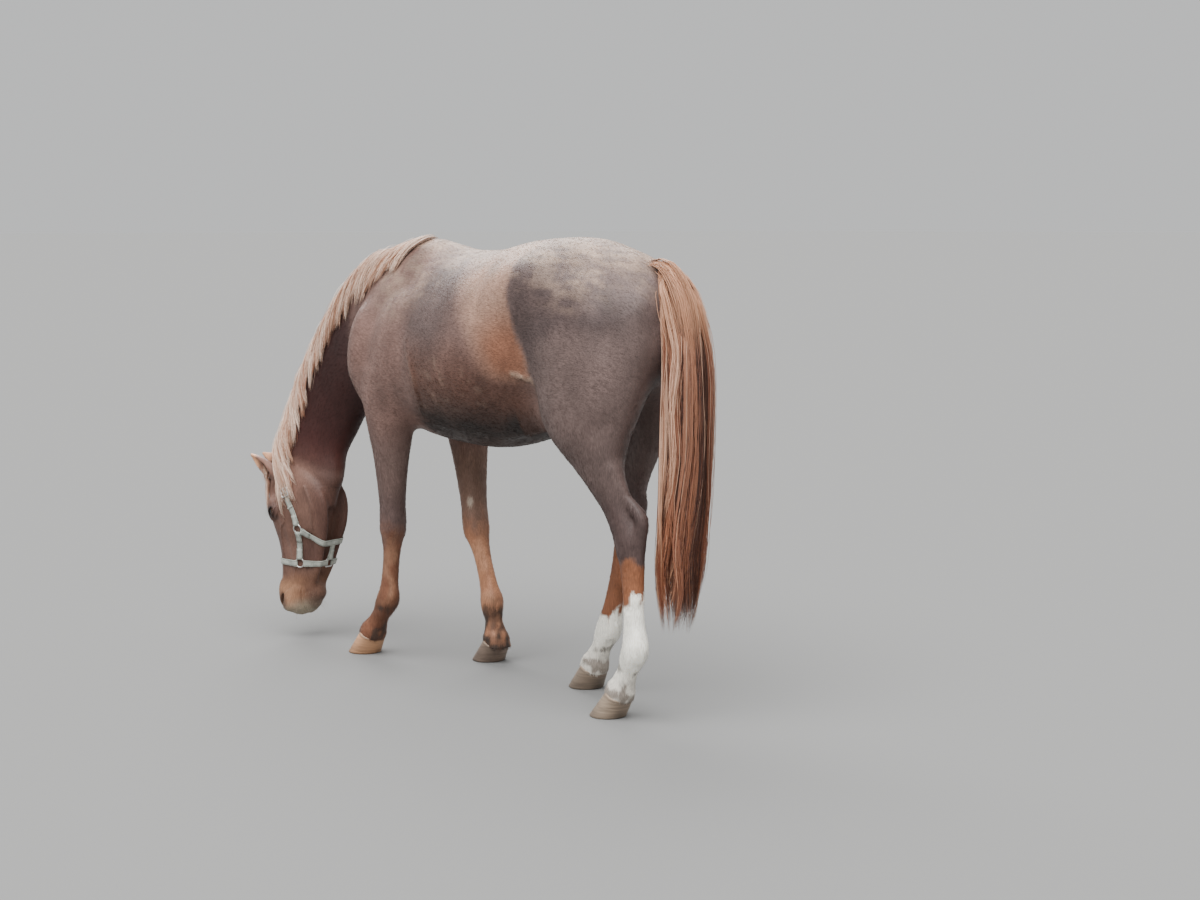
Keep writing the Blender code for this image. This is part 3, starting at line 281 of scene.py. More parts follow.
TRUNK = (   # y, top, bottom, half width, height of the widest part, squareness above and below
    (-.825, 1.080, 1.000, .030, 1.040, 2.00, 2.0),
    (-.790, 1.150, .935, .095, 1.040, 2.00, 2.0),
    (-.730, 1.250, .890, .155, 1.040, 2.00, 2.0),
    (-.650, 1.385, .865, .180, 1.050, 1.80, 2.1),
    (-.560, 1.460, .840, .200, 1.060, 1.60, 2.1),
    (-.460, 1.482, .815, .222, 1.070, 1.55, 2.1),
    (-.340, 1.468, .797, .245, 1.080, 1.65, 2.1),
    (-.220, 1.447, .788, .266, 1.085, 1.80, 2.1),
    (-.080, 1.448, .785, .283, 1.090, 1.95, 2.1),
    (.040, 1.460, .800, .286, 1.100, 2.00, 2.1),
    (.170, 1.478, .840, .275, 1.120, 2.05, 2.1),
    (.300, 1.488, .885, .250, 1.150, 2.00, 2.1),
    (.420, 1.487, .930, .225, 1.170, 1.85, 2.1),
    (.540, 1.462, .970, .205, 1.180, 1.80, 2.1),
    (.640, 1.430, 1.010, .175, 1.180, 1.85, 2.1),
    (.720, 1.375, 1.050, .120, 1.180, 1.90, 2.0),
    (.775, 1.300, 1.110, .050, 1.190, 2.00, 2.0),
)


def trunk():
    return [loft(TRUNK, (0, 0, 0), (Y, X, Z), .05)]


# ---- the neck, from inside the withers down to the throat

NECK = (    # x, y, z, half width, half depth over, half depth under, turn to the left in degrees
    (.000, -.360, 1.190, .090, .130, .200, 0),
    (.000, -.500, 1.185, .130, .245, .260, 0),
    (.000, -.660, 1.165, .135, .275, .240, 0),
    (.002, -.800, 1.115, .115, .250, .200, 2),
    (.015, -.915, 1.035, .098, .208, .172, 5),
    (.040, -1.000, .935, .086, .178, .152, 8),
    (.070, -1.050, .825, .079, .162, .148, 11),
    (.098, -1.075, .725, .073, .148, .138, 14),
    (.120, -1.080, .640, .066, .138, .150, 16),
    (.133, -1.070, .560, .060, .110, .142, 16),
    (.140, -1.045, .480, .040, .070, .105, 16),
)


def leftward(turn):
    """Its left, once it has turned this many degrees to the left."""
    return np.array([cos(radians(turn)), sin(radians(turn)), 0.0])


def neck():
    return [tube([r[:6] for r in NECK], [leftward(r[6]) for r in NECK], .05, 2.1)]


# ---- the head, which hangs nearly plumb from the poll and looks a little to the left

TURN, LEAN = 15.5, 5.5                # degrees to the left, and chin behind poll
POLL = np.array([.172, -1.242, .662])
LONG, WIDE, DEEP = .955, 1.06, 1.06   # the head's own measures against those written below
H_LEFT = leftward(TURN)
AHEAD = np.cross(H_LEFT, Z)
H_DOWN = -Z * cos(radians(LEAN)) - AHEAD * sin(radians(LEAN))
H_FRONT = AHEAD * cos(radians(LEAN)) - Z * sin(radians(LEAN))

SKULL = (   # place below the poll, face line, jaw line, half width, widest, squareness
    (-.110, -.085, -.150, .026, -.110, 2.0, 2.0),
    (-.070, -.060, -.168, .037, -.100, 2.0, 2.0),
    (-.030, -.032, -.184, .048, -.090, 2.0, 2.0),
    (.020, -.006, -.208, .058, -.085, 2.1, 2.0),
    (.080, .008, -.232, .068, -.075, 2.3, 1.7),
    (.140, .012, -.242, .079, -.068, 2.4, 1.6),
    (.200, .010, -.238, .083, -.066, 2.5, 1.6),
    (.260, .005, -.220, .074, -.070, 2.3, 1.7),
    (.320, .001, -.194, .062, -.078, 2.0, 1.8),
    (.380, .000, -.170, .054, -.078, 1.9, 1.9),
    (.440, .003, -.155, .053, -.074, 1.9, 1.9),
    (.500, .006, -.146, .059, -.067, 2.1, 2.1),
    (.550, .004, -.134, .064, -.062, 2.3, 2.2),
    (.585, -.010, -.122, .058, -.062, 2.3, 2.2),
    (.608, -.042, -.094, .030, -.064, 2.0, 2.0),
)
EYE = (.198, .0775, .050)             # the middle of the left eyeball
EYE_R = .0215


def on_head(down, left, deep):
    """A place on the head: down from the poll, to its left, and deep behind the face line."""
    return POLL + down * LONG * H_DOWN + left * WIDE * H_LEFT - deep * DEEP * H_FRONT


def jaw(side):
    rows = ((.045, .048, .100, .014, .022), (.100, .055, .165, .018, .040),
            (.165, .055, .218, .019, .045), (.250, .050, .224, .018, .038),
            (.330, .040, .205, .016, .028), (.420, .032, .172, .017, .023),
            (.500, .024, .134, .015, .018))
    stations = [(*on_head(s, side * left, deep), half, high, high) for s, left, deep, half, high in rows]
    return tube(stations, H_LEFT, .024)


def eye_middle(side):
    return on_head(EYE[0], side * EYE[1], EYE[2])


def half_head(side):
    """The shapes on one side of the skull; side is 1 for its left and -1 for its right."""
    out = H_LEFT * side

    def lump(start, end, width, depth, blend, facing=out, cuts=False):
        start = on_head(start[0], side * start[1], start[2])
        end = on_head(end[0], side * end[1], end[2])
        return muscle(start, end, width, depth, facing, blend, cuts)

    return [
        jaw(side),
        lump((.085, .054, .125), (.295, .050, .172), .090, .030, .028),     # cheek
        lump((.215, .064, .086), (.410, .048, .108), .011, .011, .022),     # facial crest
        lump((.020, .050, .075), (.175, .078, .082), .014, .012, .022),     # arch behind the eye
        lump((.145, .074, .036), (.235, .078, .034), .019, .018, .018, out + .6 * H_FRONT),  # brow
        lump((.165, .078, .080), (.245, .070, .076), .013, .013, .018),     # rim under the eye
        ball(eye_middle(side), EYE_R + .0035, .012),
        ball(on_head(.118, side * .078, .045), (.017, .017, .024), .020, cuts=True),  # hollow
        lump((.265, .046, .145), (.500, .040, .105), .036, .016, .025),     # side of the mouth
        lump((.470, .040, .024), (.588, .050, .048), .031, .019, .018),     # nostril's wing
        lump((.500, .050, .100), (.604, .024, .082), .026, .018, .018),     # upper lip
        lump((.522, .064, .036), (.574, .053, .022), .0085, .018, .006, cuts=True),    # nostril
    ]


def head():
    sized = [(s * LONG, top * DEEP, low * DEEP, half * WIDE, mid * DEEP, above, under)
             for s, top, low, half, mid, above, under in SKULL]
    pieces = [loft(sized, POLL, (H_DOWN, H_LEFT, H_FRONT), .045)]
    pieces += half_head(1) + half_head(-1)
    pieces.append(muscle(on_head(.10, 0, .215), on_head(.43, 0, .150), .036, .024, H_FRONT, .03))
    pieces.append(muscle(on_head(.46, 0, .136), on_head(.588, 0, .124), .042, .026, H_FRONT, .02))
    pieces.append(ball(on_head(.528, 0, .146), (.029, .026, .027), .02))
    return pieces


# ---- the ears, pricked forward

EAR = (     # place from root to tip, half width, half depth, and how far it bellies forward
    (-.18, .020, .019, .000), (.00, .024, .021, .000), (.16, .031, .023, .002),
    (.36, .0355, .023, .003), (.58, .030, .019, .003), (.78, .0190, .013, .001),
    (.92, .0095, .0075, -.001), (1.0, .0045, .0045, -.003),
)
EAR_HOLLOW = (
    (.06, .009, .010, .021), (.16, .018, .016, .021), (.36, .0265, .020, .0195),
    (.58, .0230, .017, .0175), (.78, .0130, .012, .0130), (.92, .0045, .006, .0080),
)


def ear(side):
    root = on_head(.056, side * .050, .036)
    tip = root + H_FRONT * .140 - H_LEFT * side * .020 + Z * .075
    axis = unit(tip - root)
    mouth = H_LEFT * side * .9 + H_FRONT * .1 - Z * .45      # the way the ear opens
    mouth = unit(mouth - axis * (mouth @ axis))
    across = np.cross(axis, mouth)

    def horn(rows, blend, cuts=False):
        stations = [(*(root + (tip - root) * t + mouth * belly), half, deep, deep)
                    for t, half, deep, belly in rows]
        return tube(stations, across, blend, cuts=cuts)

    return [horn(EAR, .010), horn(EAR_HOLLOW, .004, cuts=True)]


# ---- the legs, as it steps: joints by side, 1 for its left and -1 for its right

FORE = {
    1: dict(elbow=(.155, -.525, .900), knee=(.122, -.557, .475),
            fetlock=(.122, -.595, .214), coronet=(.120, -.682, .088)),
    -1: dict(elbow=(-.155, -.500, .900), knee=(-.125, -.402, .465),
             fetlock=(-.122, -.312, .212), coronet=(-.126, -.290, .090)),
}
HIND = {
    1: dict(hip=(.150, .530, 1.240), stifle=(.175, .430, .930), hock=(.120, .700, .580),
            fetlock=(.120, .725, .228), coronet=(.112, .655, .090)),
    -1: dict(hip=(-.150, .490, 1.240), stifle=(-.175, .300, .930), hock=(-.110, .440, .575),
             fetlock=(-.100, .345, .215), coronet=(-.100, .285, .092)),
}
FORELEG = (     # bone, place along it, half width, half depth in front and behind
    ("arm", -.30, .060, .100, .100), ("arm", -.10, .072, .125, .125), ("arm", .06, .070, .110, .120),
    ("arm", .20, .066, .092, .100), ("arm", .38, .058, .070, .076), ("arm", .60, .050, .055, .058),
    ("arm", .80, .045, .046, .048), ("arm", .93, .046, .046, .047),
    ("cannon", .05, .046, .045, .046), ("cannon", .17, .038, .036, .041),
    ("cannon", .34, .029, .028, .039), ("cannon", .58, .0265, .026, .040),
    ("cannon", .80, .029, .028, .044), ("cannon", .97, .037, .036, .050),
    ("pastern", .22, .036, .036, .042), ("pastern", .50, .030, .032, .032),
    ("pastern", .78, .036, .039, .034), ("pastern", 1.0, .046, .050, .042),
    ("pastern", 1.35, .049, .053, .044),
)
HINDLEG = (
    ("thigh", .10, .070, .120, .120), ("thigh", .45, .090, .155, .155), ("thigh", .80, .092, .145, .150),
    ("gaskin", .08, .085, .115, .125), ("gaskin", .30, .070, .088, .090),
    ("gaskin", .52, .055, .064, .066), ("gaskin", .75, .042, .047, .048),
    ("gaskin", .93, .043, .050, .046),
    ("cannon", .04, .045, .050, .046), ("cannon", .14, .041, .044, .042),
    ("cannon", .26, .033, .034, .042), ("cannon", .50, .028, .029, .041),
    ("cannon", .78, .030, .030, .043), ("cannon", .98, .039, .038, .050),
    ("pastern", .22, .037, .038, .042), ("pastern", .50, .031, .033, .032),
    ("pastern", .78, .036, .039, .034), ("pastern", 1.0, .046, .049, .042),
    ("pastern", 1.35, .048, .051, .044),
)


def leg(table, bones, blend):
    stations = []
    for bone, t, *radii in table:
        start, end = bones[bone]
        stations.append((*(start + (end - start) * t), *radii))
    return tube(stations, X, blend, 2.2)


def foreleg(side):
    elbow, knee, fetlock, coronet = map(np.array, FORE[side].values())
    bones = dict(arm=(elbow, knee), cannon=(knee, fetlock), pastern=(fetlock, coronet))
    return [leg(FORELEG, bones, .035)]


def hindleg(side):
    hip, stifle, hock, fetlock, coronet = map(np.array, HIND[side].values())
    behind = stifle + .105 * Y
    bones = dict(thigh=(hip, behind), gaskin=(behind, hock), cannon=(hock, fetlock),
                 pastern=(fetlock, coronet))
    point = hock + (0, .056, .060)                 # the point of the hock
    calf = behind + (hock - behind) * .40 + .060 * Y
    below = hock + (fetlock - hock) * .30 + .034 * Y
    tendon = tube([
        (*calf, .022, .020, .020),
        (*(point + (calf - point) * .45 - .014 * Y), .013, .018, .014),
        (*point, .022, .020, .020),
        (*((point + below) / 2 + .004 * Y), .018, .018, .014),
        (*below, .014, .016, .012),
        (*(below + (fetlock - hock) * .25 - .006 * Y), .010, .010, .008),
    ], X, .03)
    return [leg(HINDLEG, bones, .045), tendon]


def muscles(side):
    """The muscles that the legs hang from, on one side."""
    elbow = np.array(FORE[side]["elbow"])
    stifle = np.array(HIND[side]["stifle"])
    point = np.array([side * .155, -.695, 1.06])            # the point of the shoulder
    out = (side, 0, 0)
    tuck = 0.0 if side > 0 else -.035                       # the leg that is further forward
    return [
        # the shoulder blade, its front, the back of the upper arm, and the breast
        muscle((side * .055, -.43, 1.44), point + (0, .02, -.02), .10, .050, (side, -.2, .3), .06),
        muscle(point + (-side * .01, .03, .17), point + (0, .05, -.15), .075, .066, (side, -.6, 0), .07),
        muscle((side * .150, -.36, 1.27), elbow + (side * .03, .03, .03), .125, .065, out, .06),
        muscle((side * .075, -.77, 1.10), (side * .09, -.62, .90), .065, .065, -Y, .05),
        # the hip, the croup, the thigh and the stifle
        ball((side * .185, .28, 1.315), (.050, .110, .075), .10),
        muscle((side * .100, .06, 1.37), (side * .095, .72, 1.25), .13, .095, (side * .8, 0, 1), .09),
        muscle((side * .135, .53, 1.33), stifle + (side * .01, .07, 0), .165, .100, out, .08),
        ball(stifle + (0, .045, .015), (.065, .075, .09), .06),
        # the buttock, the back of the thigh, and the fold of the flank
        muscle((side * .090, .715 + tuck, 1.30), (side * .125, .64 + tuck * 2.5, .95),
               .075, .080, (side, .6, 0), .07),
        muscle((side * .110, .70 + tuck, 1.16), (side * .130, .60 + tuck * 3.6, .76),
               .055, .070, (side, .4, 0), .07),
        muscle((side * .13, .06, .885), stifle + (-side * .01, .03, .02), .055, .035, out, .07),
    ]


def body():
    """All the flesh but the ears."""
    pieces = trunk() + neck()
    for side in (1, -1):
        pieces += muscles(side) + foreleg(side) + hindleg(side)
    return pieces + head()


# ---- the mane, rooted along the crest and fallen to the left

CREST_FROM, CREST_TO = .70, 7.1       # stations of NECK, from the withers to the poll
STEEP_FROM, STEEP_OVER = .30, .40     # how far the skin faces left where locks begin to drop
LOCK_LENGTHS = ((0, .2, .5, .75, 1), (.20, .28, .31, .33, .37))      # along the crest
LOCK_LEANS = ((0, .25, .5, .75, 1), (.35, .25, .05, -.30, -.62))    # how far locks lean forward


def crest(count, pieces):
    """Places along the crest, and the way to its left at each."""
    rows = spline([(*r[:3], r[4], r[6]) for r in NECK], 10)
    middle, over = rows[:, :3], rows[:, 3]
    left = np.array([leftward(turn) for turn in rows[:, 4]])
    up = np.cross(unit(np.gradient(middle, axis=0)), left)
    tops = middle + up * (over[:, None] + .05)
    station = np.linspace(CREST_FROM, CREST_TO, count) * 10
    tops, left = (read_off(station, np.arange(len(rows)), v) for v in (tops, left))
    return settle(tops, pieces, 0.0, 8), unit(left)


def fall(start, left, lean, length, steps, pieces, height=0.0):
    """The way of locks that start here, go over the crest to the left until the skin is steep,
    then drop and lean forward. Gives their places, one row for each step."""
    p = settle(start, pieces, height)
    rows = [p]
    stride = length[:, None] / (3 * steps)
    drop = unit(-Z - lean[:, None] * Y)
    for _ in range(steps):
        for _ in range(3):
            n = normals(p, pieces)
            steep = np.clip(((n * left).sum(1, keepdims=True) - STEEP_FROM) / STEEP_OVER, 0, 1)
            way = left * (1 - steep) + drop * steep
            way = unit(way - n * (way * n).sum(1, keepdims=True))
            p = settle(p + way * stride, pieces, height, 1)
        rows.append(p)
    return np.array(rows)


# ---- the tail

TAIL = (    # y, z, half width, half depth
    (.640, 1.395, .030, .030), (.690, 1.400, .042, .036), (.732, 1.378, .054, .042),
    (.768, 1.337, .063, .048), (.798, 1.278, .069, .052), (.818, 1.200, .075, .056),
    (.832, 1.080, .082, .064), (.829, .920, .083, .068), (.820, .750, .081, .068),
    (.810, .600, .078, .064), (.801, .480, .066, .052), (.791, .400, .042, .034),
    (.788, .360, .016, .014),
)


# ---- the headcollar of flat webbing: places as on_head takes them

WEB, WEB_THICK = .022, .003
RING, RING_WIRE = .0165, .0028
UPPER_RING = (.269, .073, .143)
LOWER_RING = (.402, .057, .127)
CROWN_WAY = ((.269, .073, .143), (.212, .083, .138), (.157, .084, .117), (.100, .078, .098),
             (.046, .068, .079), (.004, .050, .046), (-.022, .024, .014), (-.030, 0, .004))
FINE = 6                               # places of a strap's way for each of the solid's
THROAT_SLOPE = (.063, .089)            # down and deep, from the upper rings to under the jaw
NOSE_MIDDLE, NOSE_SLOPE = (.4025, 0, .085), (.012, .170)
BUCKLE = .36                           # where the buckle sits on the left half of the crown
LOOSE_GIRTH = .22                      # how far out webbing starts before it is drawn tight
DRAW, DRAWS = .004, 60                 # how far at most it moves at each draw


def convex(outline):
    """The corners of the convex outline round points in a plane, counter-clockwise."""
    order = sorted(map(tuple, outline))

    def half(points):
        chain = []
        for p in points:
            while len(chain) > 1:
                a, b = chain[-2:]
                if (b[0] - a[0]) * (p[1] - a[1]) - (b[1] - a[1]) * (p[0] - a[0]) > 0:
                    break
                chain.pop()
            chain.append(p)
        return chain[:-1]

    return np.array(half(order) + half(order[::-1]))


def girth(middle, slope, start, end, count, pieces, height):
    """Webbing drawn tight round the head, in the plane of its left and of a slope down and deep:
    places from one angle to another, where 0 is its left and 90 is along the slope."""
    centre = on_head(*middle)
    u, v = H_LEFT, unit(slope[0] * LONG * H_DOWN - slope[1] * DEEP * H_FRONT)
    angles = np.radians(np.arange(0, 360, 3))
    ways = np.cos(angles)[:, None] * u + np.sin(angles)[:, None] * v
    reach = np.full(len(angles), LOOSE_GIRTH)
    for _ in range(DRAWS):
        reach = reach - np.clip(field(centre + ways * reach[:, None], pieces) - height, -DRAW, DRAW)
    corners = convex(np.stack([reach * np.cos(angles), reach * np.sin(angles)], 1))
    turns = np.degrees(np.arctan2(corners[:, 1], corners[:, 0])) % 360
    corners = corners[np.argsort(turns)]
    closed = np.vstack([corners, corners[:1]])
    fine = np.concatenate([np.linspace(a, b, 40, endpoint=False) for a, b in zip(closed, closed[1:])])
    turns = (np.degrees(np.arctan2(fine[:, 1], fine[:, 0])) - start) % 360
    order = np.argsort(turns)
    kept = fine[order][turns[order] <= end - start]
    run = run_of(kept)
    return centre + read_off(np.linspace(0, run[-1], count), run, kept) @ np.array([u, v])


def straps(pieces, height):
    """Each strap's way over the skin, at the middle of the webbing's thickness."""
    half = spline([on_head(*place) for place in CROWN_WAY], 2 * FINE)
    half = settle(half, pieces, height)
    mirrored = [on_head(s, -left, deep) for s, left, deep in CROWN_WAY]
    other = settle(spline(mirrored, 2 * FINE), pieces, height)
    ways = dict(crown=np.vstack([half, other[::-1][1:]]))
    for name, side in (("left", 1), ("right", -1)):
        ends = [np.array([s, side * left, deep]) for s, left, deep in (UPPER_RING, LOWER_RING)]
        cheek = [on_head(*(ends[0] + (ends[1] - ends[0]) * t)) for t in np.linspace(0, 1, 6 * FINE)]
        ways["cheek_" + name] = settle(np.array(cheek), pieces, height)
    upper = (UPPER_RING[0], 0, UPPER_RING[2])
    ways["throat"] = girth(upper, THROAT_SLOPE, 0, 180, 14 * FINE + 1, pieces, height)
    at_ring = np.degrees(np.arctan2(LOWER_RING[2] - NOSE_MIDDLE[2], LOWER_RING[1]))
    nose = (NOSE_MIDDLE, NOSE_SLOPE)
    ways["chin_left"] = girth(*nose, at_ring, 90, 6 * FINE + 1, pieces, height)
    ways["chin_right"] = girth(*nose, 90, 180 - at_ring, 6 * FINE + 1, pieces, height)
    ways["nose"] = girth(*nose, 180 - at_ring, 360 + at_ring, 12 * FINE + 1, pieces, height)
    ways["chin_strap"] = np.linspace(ways["throat"][7 * FINE], ways["chin_left"][-1], 4 * FINE)
    return ways


# ---- the cuts between regions of the skin, and the hooves

CROWN_POINT, THROAT_POINT = on_head(-.045, 0, 0), on_head(.075, 0, .28)
POLL_CUT = (CROWN_POINT, unit(np.cross(THROAT_POINT - CROWN_POINT, H_LEFT)))
SHIN_Z, HOCK_Z = .62, .70          # where the finer skin of the fore and the hind legs begins
HIND_FROM_Y = .24
GAP = .0003              # between two parts that meet
HOOF_LENGTH, HOOF_WIDTH = .126, .118
BAND_TILT = 24           # degrees that the coronet rises towards the toe
BAND_DROP = .017         # the coronet's cut below the joint's middle, along the pastern
WALL_ANGLE = 56          # degrees of the hoof's front from the ground
TAPER = .82              # the hoof's width at the coronet's height against that at the ground
HEADING = {("fore", 1): 2, ("fore", -1): -3, ("hind", 1): 6, ("hind", -1): -6}


def past(p, cut):
    """How far past a cut's plane each point is."""
    return (p - cut[0]) @ cut[1]


def feet():
    for joints, which in ((FORE, "fore"), (HIND, "hind")):
        for side, name in ((1, "left"), (-1, "right")):
            coronet, fetlock = (np.array(joints[side][k]) for k in ("coronet", "fetlock"))
            yield which, side, name, coronet + unit(coronet - fetlock) * BAND_DROP


def toe_way(which, side):
    turn = radians(HEADING[which, side])
    return np.array([sin(turn), -cos(turn), 0.0])


def band_cut(coronet, toe):
    """The plane of the coronet, above which the leg ends and below which the hoof begins."""
    tilt = radians(BAND_TILT)
    return coronet, Z * cos(tilt) - toe * sin(tilt)


# ---- making meshes from arrays

def mesh_of(name, points, polygons):
    """A smooth mesh of points and of arrays of faces, one array for each count of corners."""
    sizes = np.concatenate([np.full(len(p), p.shape[1]) for p in polygons])
    corners = np.concatenate([p.ravel() for p in polygons]).astype(np.int32)
    mesh = bpy.data.meshes.new(name)
    mesh.vertices.add(len(points))
    mesh.vertices.foreach_set("co", (points - (0, MIDDLE_Y, 0)).astype(np.float32).ravel())
    mesh.loops.add(len(corners))
    mesh.loops.foreach_set("vertex_index", corners)
    mesh.polygons.add(len(sizes))
    mesh.polygons.foreach_set("loop_start", (np.cumsum(sizes) - sizes).astype(np.int32))
    mesh.update(calc_edges=True)
    mesh.shade_smooth()
    return mesh


def tinted(mesh, colours, name="tint"):
    """Gives each vertex its colour."""
    layer = mesh.color_attributes.new(name=name, type="FLOAT_COLOR", domain="POINT")
    rgba = np.ones((len(colours), 4), np.float32)
    rgba[:, :3] = colours
    layer.data.foreach_set("color", rgba.ravel())


def mapped(mesh, coordinates, name):
    """Gives each vertex its place on a UV map."""
    layer = mesh.uv_layers.new(name=name)
    index = np.empty(len(mesh.loops), np.int32)
    mesh.loops.foreach_get("vertex_index", index)
    layer.data.foreach_set("uv", np.asarray(coordinates, np.float32)[index].ravel())


def piece(name, mesh, material, slot, *nodes):
    """A finished piece, which rides on the body and stands for these nodes."""
    made = bpy.data.objects.new(name, mesh)
    bpy.context.scene.collection.objects.link(made)
    mesh.materials.clear()
    mesh.materials.append(material)
    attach(made, "root")
    if nodes:
        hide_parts(*nodes)
    return made


def ring_quads(rings, sides, closed=False):
    """The quads between rings of points that follow one another."""
    ring = np.arange(sides)
    after = (ring + 1) % sides
    row = np.arange(rings if closed else rings - 1)[:, None] * sides
    next_row = (row + sides) % (rings * sides)
    return np.stack([row + ring, row + after, next_row + after, next_row + ring], -1).reshape(-1, 4)


def faced_outward(mesh):
    """Turns a closed mesh's faces to point out of it."""
    bm = bmesh.new()
    bm.from_mesh(mesh)
    bmesh.ops.recalc_face_normals(bm, faces=bm.faces)
    bm.to_mesh(mesh)
    bm.free()
    return mesh


def swept(ways, outward, widths, depths, sides=3):
    """Tapering strands along ways of shape (strand, place, 3), flat side turned outward. Gives the
    points, the faces and each point's strand and place; the last place is the tip."""
    count, places = ways.shape[:2]
    along = unit(np.gradient(ways, axis=1))
    across = unit(np.cross(outward, along))
    outward = np.cross(along, across)
    turn = 2 * pi * np.arange(sides) / sides + pi / 2
    body = ways[:, :-1, None] + (
        across[:, :-1, None] * (np.cos(turn)[:, None] * widths[:, :-1, None, None])
        + outward[:, :-1, None] * (np.sin(turn)[:, None] * depths[:, :-1, None, None]))
    rings = (places - 1) * sides
    points = np.concatenate([body.reshape(count, rings, 3), ways[:, -1:]], axis=1)
    ring = np.arange(sides)
    top = (places - 2) * sides
    tips = np.stack([top + ring, top + (ring + 1) % sides, np.full(sides, rings)], -1)
    base = (np.arange(count) * (rings + 1))[:, None, None]
    polygons = [(base + faces[None]).reshape(-1, faces.shape[-1])
                for faces in (ring_quads(places - 1, sides), tips, ring[::-1][None])]
    place = np.concatenate([np.repeat(np.arange(places - 1), sides), [places - 1]])
    strand = np.repeat(np.arange(count), rings + 1)
    return points.reshape(-1, 3), polygons, strand, np.tile(place, count)


PATCH = .003             # a strand's share of the coat's map


def coat_piece(name, parts, material, slot, *nodes, flat=False):
    """One piece of joined strands. parts are (ways, outward, widths, depths, roots, colours). Flat
    strands are lit as the skin under them is."""
    points, polygons, colours, places, facing = [], {}, [], [], []
    first = 0
    for ways, outward, widths, depths, roots, at_places in parts:
        p, faces, strand, place = swept(ways, outward, widths, depths)
        for q in faces:
            polygons.setdefault(q.shape[1], []).append(q + first)
        first += len(p)
        points.append(p)
        colours.append(at_places[strand, place])
        facing.append(outward[strand, place])
        corner = np.stack([np.arange(len(p)) % 3 / 2, place / place.max()], 1)
        places.append(coat_chart(roots)[strand] + (corner - .5) * PATCH)
    mesh = mesh_of(name, np.concatenate(points), [np.concatenate(q) for q in polygons.values()])
    tinted(mesh, np.concatenate(colours))
    mapped(mesh, np.concatenate(places), "OFBake")
    if flat:
        mesh.normals_split_custom_set_from_vertices(unit(np.concatenate(facing)))
    return piece(name, mesh, material, slot, *nodes)


# ---- where on the body a place is: the regions, the lie of the coat, and a map of the hide

NECK_WAY = spline([r[:3] for r in NECK], 10)


def head_places(p):
    """Places as on_head takes them: down from the poll, to its left, and behind the face line."""
    return (p - POLL) @ np.array([H_DOWN / LONG, H_LEFT / WIDE, -H_FRONT / DEEP]).T


def ramp(values, low, high):
    """0 below low, 1 above high, and smooth between them."""
    t = np.clip((np.asarray(values) - low) / (high - low), 0, 1)
    return t * t * (3 - 2 * t)


def ripple(p, size, seed):
    """A smooth random value from about -1 to 1, whose patches are about this size."""
    draw = np.random.default_rng(seed)
    ways = unit(draw.normal(size=(14, 3))) * draw.uniform(.6, 1.7, (14, 1)) / size
    return np.sin(p @ ways.T * pi + draw.uniform(0, 2 * pi, 14)).sum(1) / 14 ** .5


def regions(p):
    """The share of the head, the neck and the legs at each place, from 0 to 1."""
    head_share = ramp(past(p, POLL_CUT), -.03, .03) * ramp(-p[:, 1], .82, .88)
    neck_share = ramp(-p[:, 1], .62, .86) * (1 - head_share)
    top = np.where(p[:, 1] < HIND_FROM_Y, .80, .95)
    leg_share = ramp(top - p[:, 2], -.08, .10) * ramp(p[:, 1], -.80, -.72)
    return head_share, neck_share, leg_share * (1 - head_share)


def lie_of_coat(p, n):
    """The way that the hairs point, along the skin."""
    head_share, neck_share, leg_share = (s[:, None] for s in regions(p))
    nearest = np.argmin(((p[:, None, :] - NECK_WAY[None, ::4]) ** 2).sum(2), axis=1)
    up_neck = -unit(np.gradient(NECK_WAY[::4], axis=0))[nearest]
    way = np.array([0, 1.0, -.35]) * (1 - neck_share) + (up_neck - .35 * Z) * neck_share
    way = way * (1 - leg_share) - Z * leg_share
    way = way * (1 - head_share) + (H_DOWN - .35 * H_FRONT) * head_share
    way = way - n * (way * n).sum(1, keepdims=True)
    return unit(way + 1e-9)


LEG_AXES = [(np.array([legs[side][joint] for joint in (*upper, "fetlock", "coronet")]), side)
            for legs, upper in ((FORE, ("elbow", "knee")), (HIND, ("stifle", "hock"))) for side in (1, -1)]
CHART = dict(    # where each region's field of the map begins and how far it goes, across and up
    trunk=(.02, .96, .40, .58), neck=(.02, .30, .02, .17), head=(.02, .30, .21, .17))
LEG_FIELD, LEG_PITCH = (.34, .15, .02, .35), .165


